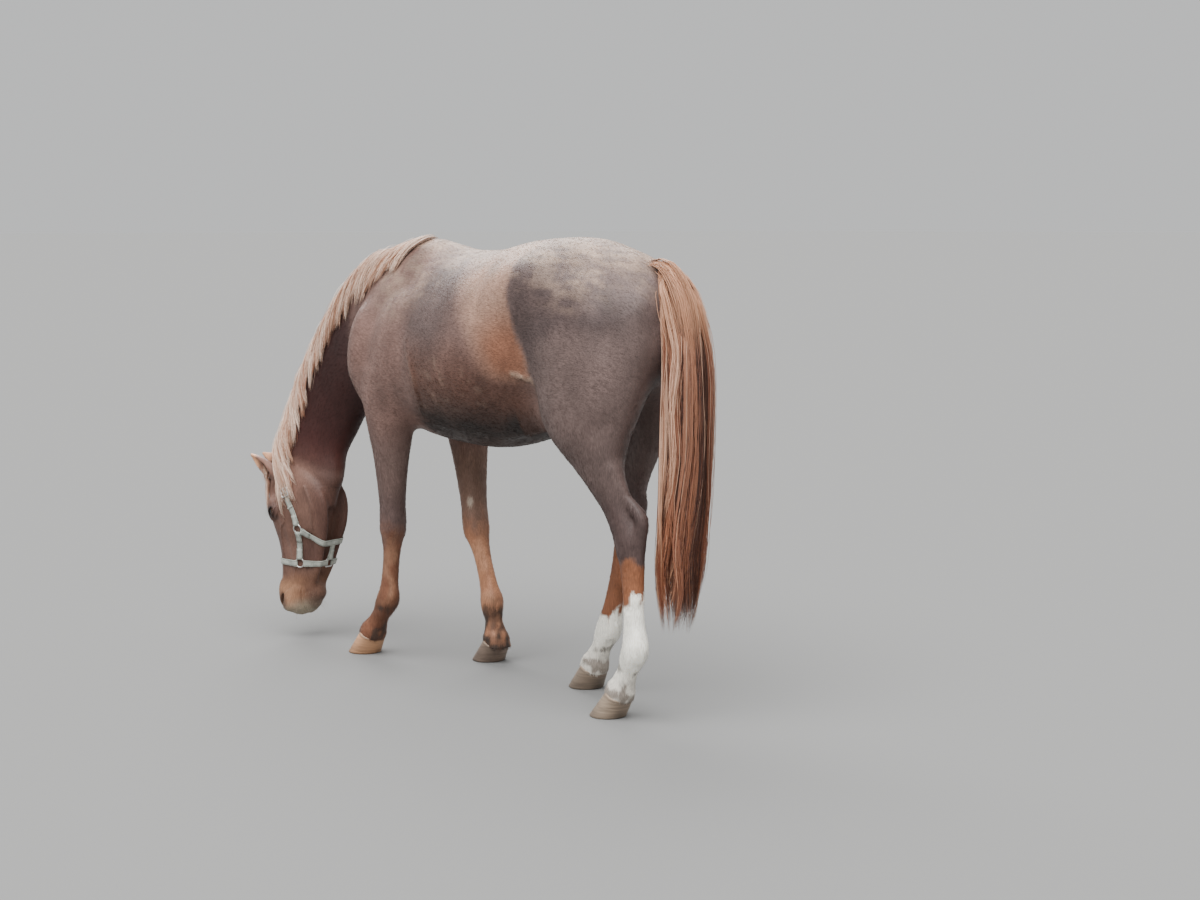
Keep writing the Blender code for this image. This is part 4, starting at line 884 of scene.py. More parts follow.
def coat_chart(p):
    """The hide laid flat: each region unrolled round its own axis, side by side on the map."""
    head_share, neck_share, leg_share = regions(p)
    u = v = np.zeros(len(p))

    def unroll(mine, part_of_map, x, y, share):
        left, width, low, height = part_of_map
        around = np.arctan2(x, y) / (2 * pi) + .5
        return np.where(mine, left + width * around, u), np.where(mine, low + height * share, v)

    u, v = unroll(True, CHART["trunk"], p[:, 0], p[:, 2] - 1.10, ramp(p[:, 1], -.85, 1.15))
    off = p - NECK_WAY[np.argmin(((p[:, None, :] - NECK_WAY[None]) ** 2).sum(2), axis=1)]
    high = np.clip((p[:, 2] - .6) / .9, 0, 1)
    u, v = unroll(neck_share > .5, CHART["neck"], off[:, 0], -off[:, 1], high)
    q = (p - POLL) @ np.array([H_DOWN, H_LEFT, H_FRONT]).T
    down = np.clip((q[:, 0] + .12) / .8, 0, 1)
    u, v = unroll(head_share > .5, CHART["head"], q[:, 1], q[:, 2] + .09, down)
    for i, (axis, side) in enumerate(LEG_AXES):
        front = i < 2
        mine = (leg_share > .5) & ((p[:, 1] < HIND_FROM_Y) == front) & (p[:, 0] * side > 0)
        x, y = (np.interp(p[:, 2], axis[::-1, 2], axis[::-1, k]) for k in (0, 1))
        field_of_leg = (LEG_FIELD[0] + LEG_PITCH * i, *LEG_FIELD[1:])
        u, v = unroll(mine, field_of_leg, p[:, 0] - x, p[:, 1] - y, np.clip(p[:, 2], 0, 1))
    return np.stack([u, v], 1)


# ---- the skin, finer on the head and on the lower legs

COAT_DEPTH = .0015       # how far the skin lies inside the solids
FACE_DEPTH = .0006
BODY_GRAIN, HEAD_GRAIN, LEG_GRAIN = .0148, .0042, .0080
STRIDE = .0015           # how far a place of the skin may move at each step as it settles
STRIP = .004             # between the rims of two regions, which a strip of triangles joins
LID = .0035              # how far the lids stand over the eyeball
EYE_SLANT = 33           # degrees of the eye's opening from the line down the face
OPENING = (.0165, .0092, .018)        # half its length and height, and its depth


def eye_axes(side):
    """Out of the eye, along its opening towards the nose, and up over the upper lid."""
    out = unit(.94 * side * H_LEFT + .33 * H_FRONT)
    along = H_DOWN * cos(radians(EYE_SLANT)) + H_FRONT * sin(radians(EYE_SLANT))
    along = unit(along - out * (along @ out))
    return out, along, unit(H_FRONT - out * (out @ H_FRONT) - along * (along @ H_FRONT))


def round_the_eye(side, spread, height, radius, turns, blend, cuts=False):
    """A fold that follows the opening, spread and height from its middle, from one turn to another."""
    out, along, up = eye_axes(side)
    turn = np.radians(np.linspace(*turns, LID_PLACES))[:, None]
    flat = along * spread * np.cos(turn) + up * height * np.sin(turn)
    over_ball = flat + out * (EYE_R ** 2 - (flat ** 2).sum(1, keepdims=True)) ** .5
    ways = eye_middle(side) + unit(over_ball) * (EYE_R + LID)
    size = radius * np.interp(np.linspace(0, 1, LID_PLACES), (0, .3, .7, 1), (.4, 1, 1, .4))
    return tube(np.column_stack([ways, size, size, size]), out, blend, steps=2, cuts=cuts)


def over_skin(way, flesh, height, radius, blend, cuts=False):
    """A thin fold or groove that follows the skin near these places."""
    way = settle(spline(way, 3), flesh, height)
    size = radius * np.interp(np.linspace(0, 1, len(way)), (0, .25, .75, 1), (.35, 1, 1, .35))
    rows = np.column_stack([way, size, size, size])
    return tube(rows, unit(H_FRONT + .3 * Z), blend, steps=2, cuts=cuts)


LID_PLACES = 9
LIDS = (    # spread and height from the eye's middle, thickness, turns, fillet, whether it cuts
    (.0190, .0122, .0034, (8, 172), .0022, False),         # the upper lid
    (.0190, .0112, .0028, (-170, -10), .0022, False),      # the lower lid
    (.0205, .0172, .0022, (20, 160), .0028, True),         # the crease and the fold over the eye
    (.0210, .0205, .0032, (25, 155), .0040, False),
    (.0205, .0160, .0018, (-150, -30), .0028, True),       # the crease and the fold under it
    (.0210, .0200, .0026, (-145, -35), .0040, False),
)
FACE_FOLDS = (    # places on the left of the head, thickness, fillet, whether it cuts
    (((.603, .004, .098), (.590, .030, .106), (.562, .050, .114), (.530, .058, .118),
      (.505, .058, .118)), .0042, .0030, True),            # the mouth
    (((.215, .070, .090), (.270, .066, .062), (.340, .055, .045), (.410, .050, .034),
      (.470, .050, .030)), .0028, .006, False),            # veins of the face
    (((.255, .070, .150), (.330, .060, .128), (.400, .052, .108), (.455, .048, .092)),
     .0026, .007, False),
    (((.110, .070, .190), (.190, .072, .214), (.270, .066, .205)), .0035, .010, False),
)
BODY_FOLDS = (    # places on the left, height over the skin, thickness, fillet
    (((.245, .255, 1.066), (.243, .285, 1.056), (.236, .325, 1.050), (.229, .372, 1.036)),
     -.001, .0065, .012),                                  # the flank's fold
    (((.243, -.303, 1.151), (.250, -.262, 1.080), (.255, -.238, 1.010), (.230, -.245, .950),
      (.208, -.262, .903)), -.002, .0075, .015),           # behind the shoulder
    (((.16, -.36, .880), (.19, -.20, .862), (.19, -.05, .850), (.17, .10, .862), (.15, .20, .885)),
     -.001, .0050, .010),                                  # the belly's vein
)


def body_details(flesh):
    """The folds of the flank and behind the shoulder, and the belly's veins."""
    return [over_skin([(side * x, y, z) for x, y, z in places], flesh, *sizes)
            for side in (1, -1) for places, *sizes in BODY_FOLDS]


def face_details(flesh):
    """Lids, nostrils, the mouth's line and the veins of the face."""
    pieces = []
    for side in (1, -1):
        out, along, up = eye_axes(side)
        pieces += [round_the_eye(side, *fold) for fold in LIDS]
        pieces.append(ellipsoid(eye_middle(side) + out * .026, (along, up, out), OPENING, .0012, True))
        pieces.append(muscle(on_head(.530, side * .066, .036), on_head(.570, side * .052, .022),
                             .0065, .030, H_LEFT * side, .003, True))
        for places, *sizes in FACE_FOLDS:
            places = [on_head(down, side * left, deep) for down, left, deep in places]
            pieces.append(over_skin(places, flesh, 0, *sizes))
    return pieces


def depth_at(p):
    """How far the skin lies inside the solids at each place."""
    return COAT_DEPTH + (FACE_DEPTH - COAT_DEPTH) * regions(p)[0]


def cut_off(bm, point, normal, within=None):
    """Clears what lies past a plane; within picks the faces that it cuts."""
    faces = [f for f in bm.faces if within is None or within(f.calc_center_median())]
    geometry = dict.fromkeys(part for f in faces for part in (f, *f.edges, *f.verts))
    bmesh.ops.bisect_plane(bm, geom=list(geometry), dist=1e-6, plane_co=Vector(point),
                           plane_no=Vector(normal), clear_outer=True)


def rims(bm):
    """Each open rim as its vertices in order, the longest first."""
    ways = {}
    for edge in bm.edges:
        if edge.is_boundary:
            for vertex in edge.verts:
                ways.setdefault(vertex, []).append(edge)
    unseen, found = set(ways), []
    while unseen:
        vertex = start = min(unseen, key=lambda v: tuple(v.co))
        unseen.discard(start)
        loop, edge = [start], ways[start][0]
        while (vertex := edge.other_vert(vertex)) is not start:
            loop.append(vertex)
            unseen.discard(vertex)
            edge = next(e for e in ways[vertex] if e is not edge)
        found.append(loop)
    return sorted(found, key=len, reverse=True)


def joined(bm, one, other, normal):
    """A strip of triangles between two rims."""
    def around(loop):
        flat = np.array([v.co for v in loop]) - np.mean([v.co for v in loop], axis=0)
        area = np.cross(flat, np.roll(flat, -1, axis=0)).sum(0) @ normal
        return loop if area > 0 else loop[::-1]

    one, other = around(one), around(other)
    gaps = [(other[j].co - one[0].co).length for j in range(len(other))]
    first = int(np.argmin(gaps))
    other = other[first:] + other[:first]
    i = j = 0
    while i < len(one) or j < len(other):
        a, b = one[i % len(one)], other[j % len(other)]
        next_a, next_b = one[(i + 1) % len(one)], other[(j + 1) % len(other)]
        take_a = (next_a.co - b.co).length < (next_b.co - a.co).length
        if j == len(other) or (take_a and i < len(one)):
            bm.faces.new((a, next_a, b))
            i += 1
        else:
            bm.faces.new((a, next_b, b))
            j += 1


def region(points, quads, cuts):
    """A sampled surface as a bmesh, cut off at its planes."""
    bm = bmesh.new()
    verts = [bm.verts.new(p) for p in points]
    for quad in quads:
        bm.faces.new([verts[i] for i in quad])
    for cut in cuts:
        cut_off(bm, *cut)
    return bm


def added(bm, other):
    """Puts the other bmesh into the first."""
    mesh = bpy.data.meshes.new("region")
    other.to_mesh(mesh)
    other.free()
    bm.from_mesh(mesh)
    bpy.data.meshes.remove(mesh)


def finer(bm, spots):
    """Splits the faces round these places, which are (centre, reach)."""
    for centre, reach in spots:
        centre = Vector(centre)
        edges = [e for e in bm.edges if all((v.co - centre).length < reach for v in e.verts)]
        bmesh.ops.subdivide_edges(bm, edges=edges, cuts=1, use_grid_fill=True)


def is_fore(c):
    return -.85 < c.y < HIND_FROM_Y


def is_hind(c):
    return c.y > HIND_FROM_Y


TRUNK_BOX = (-.40, -1.40, .52), (.40, .88, 1.56)
HEAD_BOX = (-.06, -1.43, .02), (.38, -.84, .80)
LEG_BOX_X, LEG_BOX_LOW = .30, .04
LEG_BOX_Y = dict(fore=(-.80, -.16), hind=(.16, .92))
OVER, FAR_OVER = .02, .03      # how far past their cuts the regions are sampled
IN_HOOF = .005                 # how far below the coronet's cut the leg's skin ends
ON_PLANE = 1e-4
FINE_SPOTS = (    # places on the left of the head whose skin is finer, and how far round them
    (*EYE, .038), (.548, .060, .030, .026), (.580, .032, .108, .030), (.530, .050, .118, .032))
FINEST_REACH = .031            # round the eye


def shank(which, side, coronet, bare):
    """The skin of one lower leg, closed inside the hoof, and the height of the cut over it."""
    top = SHIN_Z if which == "fore" else HOCK_Z
    band = band_cut(coronet, toe_way(which, side))

    def near(p):
        return np.maximum.reduce([bare(p), p[:, 2] - top - OVER, -past(p, band) - OVER,
                                  OVER - side * p[:, 0]])

    ahead, behind = LEG_BOX_Y[which]
    ends = sorted((0, side * LEG_BOX_X))
    box = (ends[0], ahead, LEG_BOX_LOW), (ends[1], behind, top + FAR_OVER)
    cuts = [((0, 0, top - STRIP), Z), (band[0] - IN_HOOF * band[1], -band[1])]
    made = region(*skin_of(near, *box, LEG_GRAIN), cuts)
    low_rim = [e for e in made.edges
               if e.is_boundary and abs(e.verts[0].co.z - top + STRIP) > ON_PLANE]
    bmesh.ops.holes_fill(made, edges=low_rim, sides=0)
    return made, top


def rim_on(surface, at, normal, leg_of):
    """The longest rim that lies in this plane, on one leg where leg_of names it."""
    loops = [loop for loop in rims(surface)
             if all(abs(np.dot(np.array(v.co) - at, normal)) < ON_PLANE for v in loop)]
    if leg_of:
        side, which = leg_of
        loops = [loop for loop in loops if loop[0].co.x * side > 0
                 and (loop[0].co.y > HIND_FROM_Y) == (which == "hind")]
    return loops[0]


def joined_regions(bare):
    """The skin's regions, each in its own grain, cut off at planes and joined rim to rim."""
    def trunk_region(p):
        floor = np.where(p[:, 1] > HIND_FROM_Y, HOCK_Z, SHIN_Z) - FAR_OVER
        return np.maximum.reduce([bare(p), floor - p[:, 2], past(p, POLL_CUT) - FAR_OVER])

    def head_region(p):
        return np.maximum(bare(p), -past(p, POLL_CUT) - OVER)

    crown, down_neck = POLL_CUT
    cuts = [(crown, down_neck), ((0, 0, SHIN_Z), -Z, is_fore), ((0, 0, HOCK_Z), -Z, is_hind)]
    surface = region(*skin_of(trunk_region, *TRUNK_BOX, BODY_GRAIN), cuts)
    face = skin_of(head_region, *HEAD_BOX, HEAD_GRAIN)
    added(surface, region(*face, [(crown + STRIP * down_neck, -down_neck)]))
    seams = [(crown, crown + STRIP * down_neck, down_neck, None)]
    for which, side, _, coronet in feet():
        made, top = shank(which, side, coronet, bare)
        added(surface, made)
        seams.append((Z * top, Z * (top - STRIP), -Z, (side, which)))
    for one, other, normal, leg_of in seams:
        pair = [rim_on(surface, at, normal, leg_of) for at in (one, other)]
        joined(surface, *pair, normal)
    return surface


def skin_surface(pieces):
    """The whole skin, as points and triangles, finer round the eyes, nostrils and mouth."""
    def bare(p):
        return field(p, pieces) + depth_at(p)

    surface = joined_regions(bare)
    finer(surface, [(on_head(down, side * left, deep), reach)
                    for side in (1, -1) for down, left, deep, reach in FINE_SPOTS])
    finer(surface, [(eye_middle(side), FINEST_REACH) for side in (1, -1)])
    bmesh.ops.triangulate(surface, faces=surface.faces)
    bmesh.ops.recalc_face_normals(surface, faces=surface.faces)
    points = np.array([v.co for v in surface.verts])
    surface.verts.index_update()
    triangles = np.array([[v.index for v in f.verts] for f in surface.faces])
    surface.free()
    for _ in range(3):
        step = np.clip(bare(points), -STRIDE, STRIDE)
        points = points - normals(points, pieces) * step[:, None]
    return points, triangles


# ---- the markings, with their painted shade and sheen, the same on the skin and on the strands that lie over it

LIVER, GINGER, RUST = (.158, .095, .080), (.320, .190, .138), (.195, .078, .043)
SLATE, RUMP, SHADED_LOWER_RIBS = (.068, .046, .043), (.132, .090, .081), (.092, .041, .028)
SHOULDER, BELLY_SHADE, MUD_AND_SHEEN = (.160, .092, .076), (.012, .0055, .004), (.265, .180, .135)
FOLD_HIGHLIGHT, TOPLINE_SHEEN, DIRT = (.38, .27, .20), (.42, .29, .21), (.045, .032, .026)
SHADED_NECK_BROWN, BY_POLL = (.028, .0080, .0068), (.062, .027, .020)
ARM_RIGHT, ARM_LEFT = (.195, .115, .082), (.125, .088, .078)
SHIN, SHIN_LEFT, SHIN_RIGHT = (.235, .090, .043), (.150, .063, .036), (.48, .225, .125)
TENDON_HIGHLIGHT, SOCK, HOCK, CALLOSITY = (.47, .27, .165), (.97, .94, .84), (.098, .063, .058), (.42, .33, .26)
CHEEK, POLL_BROWN, FACE = (.155, .082, .061), (.200, .098, .068), (.115, .058, .043)
EAR_BACK, CHIN = (.66, .34, .19), (.105, .060, .045)
MUZZLE, NOSE_TAN, LIPS = (.125, .060, .036), (.36, .185, .100), (.26, .23, .170)
FACE_PATCHES = (    # colour, place on the left of the head, radii, softness and strength
    # the side of the jaw in painted shade, the nostril, round the eye, the lids' rims in painted shade
    # where they meet the eyeball, and the hollow over the eye in painted shade
    ((.058, .027, .021), (.368, .052, .172), (.046, .04, .050), .6, .75),
    ((.09, .055, .045), (.549, .060, .030), (.032, .016, .022), .5, .8),
    ((.060, .032, .026), (EYE[0], .088, EYE[2] - .004), (.036, .030, .026), .5, .8),
    ((.012, .008, .007), (EYE[0], .092, EYE[2] - .008), (.021, .018, .0135), .3, 1),
    (MUZZLE, (.105, .078, .040), (.03, .03, .03), .6, .25),
)


def paint(colours, tone, share):
    """Moves the colours towards this tone, or towards one of their own each, by this share."""
    colours += (np.array(tone) - colours) * np.clip(share, 0, 1)[:, None]


def patch(p, centre, radii, soft=.5):
    """1 inside an ellipsoid of these radii and 0 outside it, soft at its rim."""
    off = np.sqrt((((p - centre) / radii) ** 2).sum(1))
    return 1 - ramp(off, 1 - soft, 1 + soft)


def side_patch(p, centre, radii, soft):
    """The same on both flanks, by y and z alone."""
    return patch(p * (0, 1, 1), (0, *centre), (1, *radii), soft)


def height_patch(p, z, reach):
    return patch(p * (0, 0, 1), (0, 0, z), (1, 1, reach), .5)


def near_line(y, z, line, width, soft):
    """1 on a line of (y, z) places and 0 past this width from it."""
    line = np.array(line)
    gap = np.full(len(y), 9.0)
    for start, end in zip(line, line[1:]):
        step = end - start
        t = np.clip(((y - start[0]) * step[0] + (z - start[1]) * step[1]) / (step @ step), 0, 1)
        gap = np.minimum(gap, np.hypot(y - start[0] - t * step[0], z - start[1] - t * step[1]))
    return 1 - ramp(gap, width - soft, width + soft)


def trunk_markings(p, n, leg_share, broad, small, fine):
    y, z = p[:, 1], p[:, 2]
    flank_side = ramp(np.abs(p[:, 0]), .06, .14)
    colour = np.tile(np.array(LIVER), (len(p), 1))
    paint(colour, SHOULDER, ramp(-y, .20, .36))
    paint(colour, SLATE, side_patch(p, (-.19, 1.26), (.16, .16), .6) * .8)
    # the lower ribs' red-brown, deepened with painted shade towards the underside
    ribs = ramp(1.13 + .04 * broad - z, -.06, .13) * ramp(-y, -.40, -.25) * ramp(y, -.32, -.22)
    paint(colour, SHADED_LOWER_RIBS, ribs * .95)
    # the red flank, from a soft edge on the ribs to a sharp one before the rump
    ahead = np.interp(z, (1.05, 1.24, 1.42), (.19, .03, -.05)) + .030 * broad
    behind = np.interp(z, (1.04, 1.07, 1.20, 1.42), (.372, .352, .297, .255)) + .006 * small
    red = ramp(y, ahead - .07, ahead + .09) * ramp(behind - y, -.012, .016) * ramp(z, 1.02, 1.07)
    paint(colour, GINGER, red * flank_side)
    deeper = red * side_patch(p, (.26, 1.12), (.14, .12), .7)
    paint(colour, RUST, deeper * .9 * flank_side)
    # the grey rump, with dark patches
    rump = ramp(y - behind, -.012, .020)
    paint(colour, RUMP, rump)
    dark = side_patch(p, (.36, 1.28), (.12, .20), .6) + side_patch(p, (.58, 1.27), (.20, .07), .7)
    paint(colour, SLATE, rump * dark * (.85 + .25 * small))
    # dust and dried mud on the back, the croup, the withers and the ribs; the light patches along the top
    # are partly dust and partly painted sheen
    mottle = ramp(small + .6 * fine, -.3, 1.2)
    # dust and painted sheen, mottled along the top of the body
    paint(colour, MUD_AND_SHEEN, mottle * ramp(z, 1.24, 1.40) * .42)
    # a warm light patch over the croup: painted sheen with some dust
    paint(colour, MUD_AND_SHEEN, side_patch(p, (.53, 1.39), (.13, .10), .7) * (.26 + .3 * fine))
    # a light patch on the back behind the withers: painted highlight with some dust
    paint(colour, MUD_AND_SHEEN, side_patch(p, (-.45, 1.33), (.16, .10), .7) * (.35 + .3 * fine))
    # painted sheen: paler where the skin along the top of the back and croup faces up
    paint(colour, TOPLINE_SHEEN, ramp(n[:, 2], .66, .97) * ramp(z, 1.30, 1.38) * (.55 + .2 * fine))
    spots = ramp(fine + .4 * small, -.4, .9)
    paint(colour, MUD_AND_SHEEN, side_patch(p, (-.095, 1.015), (.045, .075), .6) * spots * .45)
    speckle = ramp(fine, .9, 1.5) * side_patch(p, (-.05, .95), (.30, .12), .5)
    paint(colour, MUD_AND_SHEEN, speckle * .25)
    # painted highlight along the flank's fold and behind the shoulder
    fold = near_line(y, z, ((.275, 1.060), (.325, 1.051), (.368, 1.038)), .006, .006)
    paint(colour, FOLD_HIGHLIGHT, fold * flank_side * .8)
    fold = near_line(y, z, ((-.303, 1.151), (-.238, 1.010), (-.262, .903)), .004, .012)
    paint(colour, FOLD_HIGHLIGHT, fold * flank_side * ramp(small, -.6, .8) * .16)
    # painted shade under the belly, darkest where the skin faces down
    under = ramp(.900 + .02 * small + .05 * ramp(y, .05, .35) - z, -.035, .05) * ramp(z, .74, .80)
    under = np.maximum(under * ramp(-n[:, 2], .0, .35), ramp(-n[:, 2], .45, .80) * ramp(z, .72, .80))
    under = under * (1 - leg_share) * ramp(y, -.37, -.27) * ramp(.36 - y, -.06, .05)
    paint(colour, BELLY_SHADE, under * .92)
    # painted shade: the lower ribs darkened towards the underside
    low = ramp(1.02 - z, 0, .14) * ramp(y, -.34, -.24) * ramp(.36 - y, -.02, .06)
    return colour * (1 - .45 * low)[:, None]


def leg_markings(p, colour, leg_share, small, fine):
    x, y, z = p.T
    front = y < HIND_FROM_Y
    right = ramp(-x, 0, .02)
    ragged = z + .026 * small + .012 * fine
    arm = front * right * ramp(.80 - z, -.05, .10)
    paint(colour, ARM_RIGHT, arm * leg_share * .8)
    paint(colour, ARM_LEFT, front * (1 - right) * leg_share * .6)
    knee = front * (1 - right) * height_patch(p, .50, .09)
    paint(colour, HOCK, knee * leg_share * .7)
    # the red shins, streaked, with a painted highlight along the tendons in front
    start = np.where(front, .43 + .03 * right, .487)
    soft = np.where(front, .085, .022)
    shin = ramp(start - ragged, -soft, soft)
    paint(colour, SHIN, shin * leg_share)
    paint(colour, SHIN_LEFT, front * (1 - right) * shin * leg_share * .9)
    paint(colour, SHIN_RIGHT, front * right * shin * leg_share * .8)
    turn = np.arctan2(x - np.where(front, .12, .11) * np.sign(x), y - np.where(front, -.44, .60))
    tendon = ramp(np.sin(turn * 7 + small), .45, 1)
    paint(colour, TENDON_HIGHLIGHT, front * shin * leg_share * tendon * ramp(z, .18, .24) * .28)
    turn = np.arctan2(x - np.sign(x) * .12, y - np.where(front, -.45, .60))
    streak = ramp(np.sin(turn * 26 + 2 * fine), .2, 1)
    paint(colour, RUST, shin * leg_share * streak * .30)
    hock = ~front * height_patch(p, .58, .12) * (1 - shin)
    paint(colour, HOCK, hock * leg_share * .85)
    colour = colour * (1 - .20 * (~front * ramp(.86 - z, -.05, .05) * (1 - shin)))[:, None]
    # white socks behind, with ragged slanted tops, soiled below
    slant = np.where(x > 0, .315 + 1.15 * (y - .69), .265 + .40 * (y - .345))
    top = slant + .012 * small + .012 * fine + .010 * np.sin(x * 330 + 3 * small)
    sock = ~front * ramp(top - z, -.004, .006)
    paint(colour, SOCK, sock * leg_share)
    soil = ramp(.235 - z, -.03, .07) * ramp(small + .7 * fine + .5 * ramp(.16 - z, 0, .08), .25, 1.0)
    paint(colour, DIRT, soil * leg_share * np.where(front, .80, .72))
    paint(colour, MUD_AND_SHEEN, ~front * sock * leg_share * ramp(.16 - z, -.03, .06) * .35)
    wet = front * right * ramp(.185 + .02 * small - z, -.015, .03)
    paint(colour, DIRT, wet * leg_share * (.62 + .3 * fine))
    band = front * ramp(.215 - ragged, -.010, .010) * ramp(z - .165, -.01, .01)
    band = band * ramp(fine + small, -.9, .4)
    paint(colour, DIRT, band * leg_share * (.22 + .5 * right))
    paint(colour, CALLOSITY, patch(p, (-.094, -.395, .563), (.011, .012, .018), .4))
    return colour


def head_markings(p, small):
    q = head_places(p)
    down, deep = q[:, 0], q[:, 2]
    cheek = np.tile(np.array(CHEEK), (len(p), 1)) * (1 + .12 * small)[:, None]
    paint(cheek, POLL_BROWN, ramp(.02 - down, -.06, .06) * .8)
    # the neck's brown and its painted shade at the throat behind the jaw
    paint(cheek, SHADED_NECK_BROWN, ramp(deep, .19, .25) * .55)
    paint(cheek, FACE, ramp(.075 - deep, -.02, .04) * ramp(down, .20, .30) * .85)
    paint(cheek, MUZZLE, ramp(down + .012 * small, .39, .50) * (.75 + .2 * small))
    nose = ramp(down + .010 * small, .445, .51) * ramp(.105 - deep, -.05, .05)
    paint(cheek, NOSE_TAN, nose * .75)
    paint(cheek, LIPS, ramp(down + .006 * small, .530, .590) * .85)
    paint(cheek, CHIN, patch(q, (.555, 0, .150), (.05, .06, .03)) * .6)
    for side in (1, -1):
        for tone, centre, radii, soft, strength in FACE_PATCHES:
            paint(cheek, tone, patch(q, centre * np.array((1, side, 1)), radii, soft) * strength)
    ears = ramp(-deep, .035, .065) * ramp(.10 - down, -.02, .03)
    paint(cheek, EAR_BACK, ears * .9)
    return cheek


def markings(p, n):
    """The coat's colour at each place of the skin, with its painted shade and sheen, given the skin's
    outward way there.
    """
    head_share, neck_share, leg_share = regions(p)
    broad, small, fine = ripple(p, .22, 1), ripple(p, .07, 2), ripple(p, .022, 3)
    colour = trunk_markings(p, n, leg_share, broad, small, fine)
    # the neck's dark liver brown carries painted shade under the mane, lighter towards the neck's lower
    # part
    lower = ramp(.80 - p[:, 2], -.05, .20)
    neck = np.tile(np.array(SHADED_NECK_BROWN), (len(p), 1)) * (1 + 1.3 * lower)[:, None]
    paint(neck, BY_POLL, ramp(past(p, POLL_CUT), -.12, .02) * .85)
    paint(neck, SHOULDER, ramp(p[:, 1] + .04 * broad, -.84, -.70) * .8)
    paint(colour, neck, neck_share)
    colour = leg_markings(p, colour, leg_share, small, fine)
    paint(colour, head_markings(p, small), head_share)
    return colour


# ---- materials

def new_material(name, finish):
    """A material with these values on its shader's sockets."""
    made = bpy.data.materials.new(name)
    made.use_nodes = True
    shader = made.node_tree.nodes["Principled BSDF"]
    for socket, value in finish.items():
        shader.inputs[socket].default_value = value
    return made, made.node_tree, shader


def node(tree, kind, values=(), **settings):
    """A node with these settings, and these values on its inputs by name or number."""
    made = tree.nodes.new(kind)
    for key, value in settings.items():
        setattr(made, key, value)
    for socket, value in dict(values).items():
        if isinstance(value, bpy.types.NodeSocket):
            tree.links.new(value, made.inputs[socket])
        else:
            made.inputs[socket].default_value = value
    return made


def tint_of(tree):
    """The colours that the mesh holds."""
    return node(tree, "ShaderNodeAttribute", attribute_name="tint").outputs["Color"]


def stretched_noise(tree, scale, detail=3.0):
    """Noise in the object's own places, stretched by scale."""
    place = node(tree, "ShaderNodeTexCoord").outputs["Object"]
    mapping = node(tree, "ShaderNodeMapping", {"Vector": place, "Scale": scale})
    noise = {"Vector": mapping.outputs["Vector"], "Scale": 1.0, "Detail": detail}
    return node(tree, "ShaderNodeTexNoise", noise).outputs["Fac"]


def shaded_by(tree, colour, value, low, high):
    """A colour times a value that runs from low to high as another runs from .25 to .75."""
    spread = node(tree, "ShaderNodeMapRange",
                  {"Value": value, "From Min": .25, "From Max": .75, "To Min": low, "To Max": high})
    scaled = {0: colour, "Scale": spread.outputs["Result"]}
    return node(tree, "ShaderNodeVectorMath", scaled, operation="SCALE").outputs["Vector"]


def roughened(tree, shader, height, strength, distance):
    """Gives the shader a relief."""
    relief = {"Height": height, "Strength": strength, "Distance": distance}
    bump = node(tree, "ShaderNodeBump", relief)
    tree.links.new(bump.outputs["Normal"], shader.inputs["Normal"])


def coat_material():
    """Short hair: colours from the skin, broken by streaks that follow the lie of the coat."""
    made, tree, shader = new_material("short_coat", {
        "Roughness": .50, "Specular IOR Level": .26, "Sheen Weight": .03, "Sheen Roughness": .45,
        "Sheen Tint": (.90, .80, .74, 1)})
    upright = node(tree, "ShaderNodeAttribute", attribute_name="upright").outputs["Fac"]
    along_body = stretched_noise(tree, (420, 60, 300))
    along_legs = stretched_noise(tree, (420, 420, 55))
    streaks = node(tree, "ShaderNodeMix", {0: upright, 2: along_body, 3: along_legs}).outputs[0]
    clouds = stretched_noise(tree, (13, 11, 7), 5.0)
    colour = shaded_by(tree, tint_of(tree), streaks, .66, 1.34)
    colour = shaded_by(tree, colour, clouds, .72, 1.28)
    tree.links.new(colour, shader.inputs["Base Color"])
    roughened(tree, shader, streaks, .60, .0012)
    return made


def strand_material(name, roughness, sheen, specular=.5):
    """Strands, whose colours are their own."""
    made, tree, shader = new_material(name, {
        "Roughness": roughness, "Specular IOR Level": specular, "Sheen Weight": sheen,
        "Sheen Roughness": .4})
    tree.links.new(tint_of(tree), shader.inputs["Base Color"])
    return made


# ---- the skin's piece

def make_skin(pieces):
    points, triangles = skin_surface(pieces)
    mesh = mesh_of("skin", points, [triangles])
    facing = np.empty(len(points) * 3, np.float32)
    mesh.vertex_normals.foreach_get("vector", facing)
    facing = facing.reshape(-1, 3).astype(float)
    tinted(mesh, markings(points, facing))
    head_share, neck_share, leg_share = regions(points)
    layer = mesh.attributes.new("upright", "FLOAT", "POINT")
    upright = np.clip(head_share + neck_share * .6 + leg_share, 0, 1)
    layer.data.foreach_set("value", upright.astype(np.float32))
    mapped(mesh, coat_chart(points), "OFBake")
    legs = [f"{which}leg_{side}" for which in ("fore", "hind") for side in ("left", "right")]
    piece("skin", mesh, coat_material(), "coat",
          "trunk", "neck", "head", "ear_left", "ear_right", *legs)
    return points, triangles, facing


# ---- the eyes

IRIS, WHITE, PUPIL = (.040, .019, .010), (.16, .10, .075), (.002, .002, .003)
CORNEA = .0012           # how far it stands out


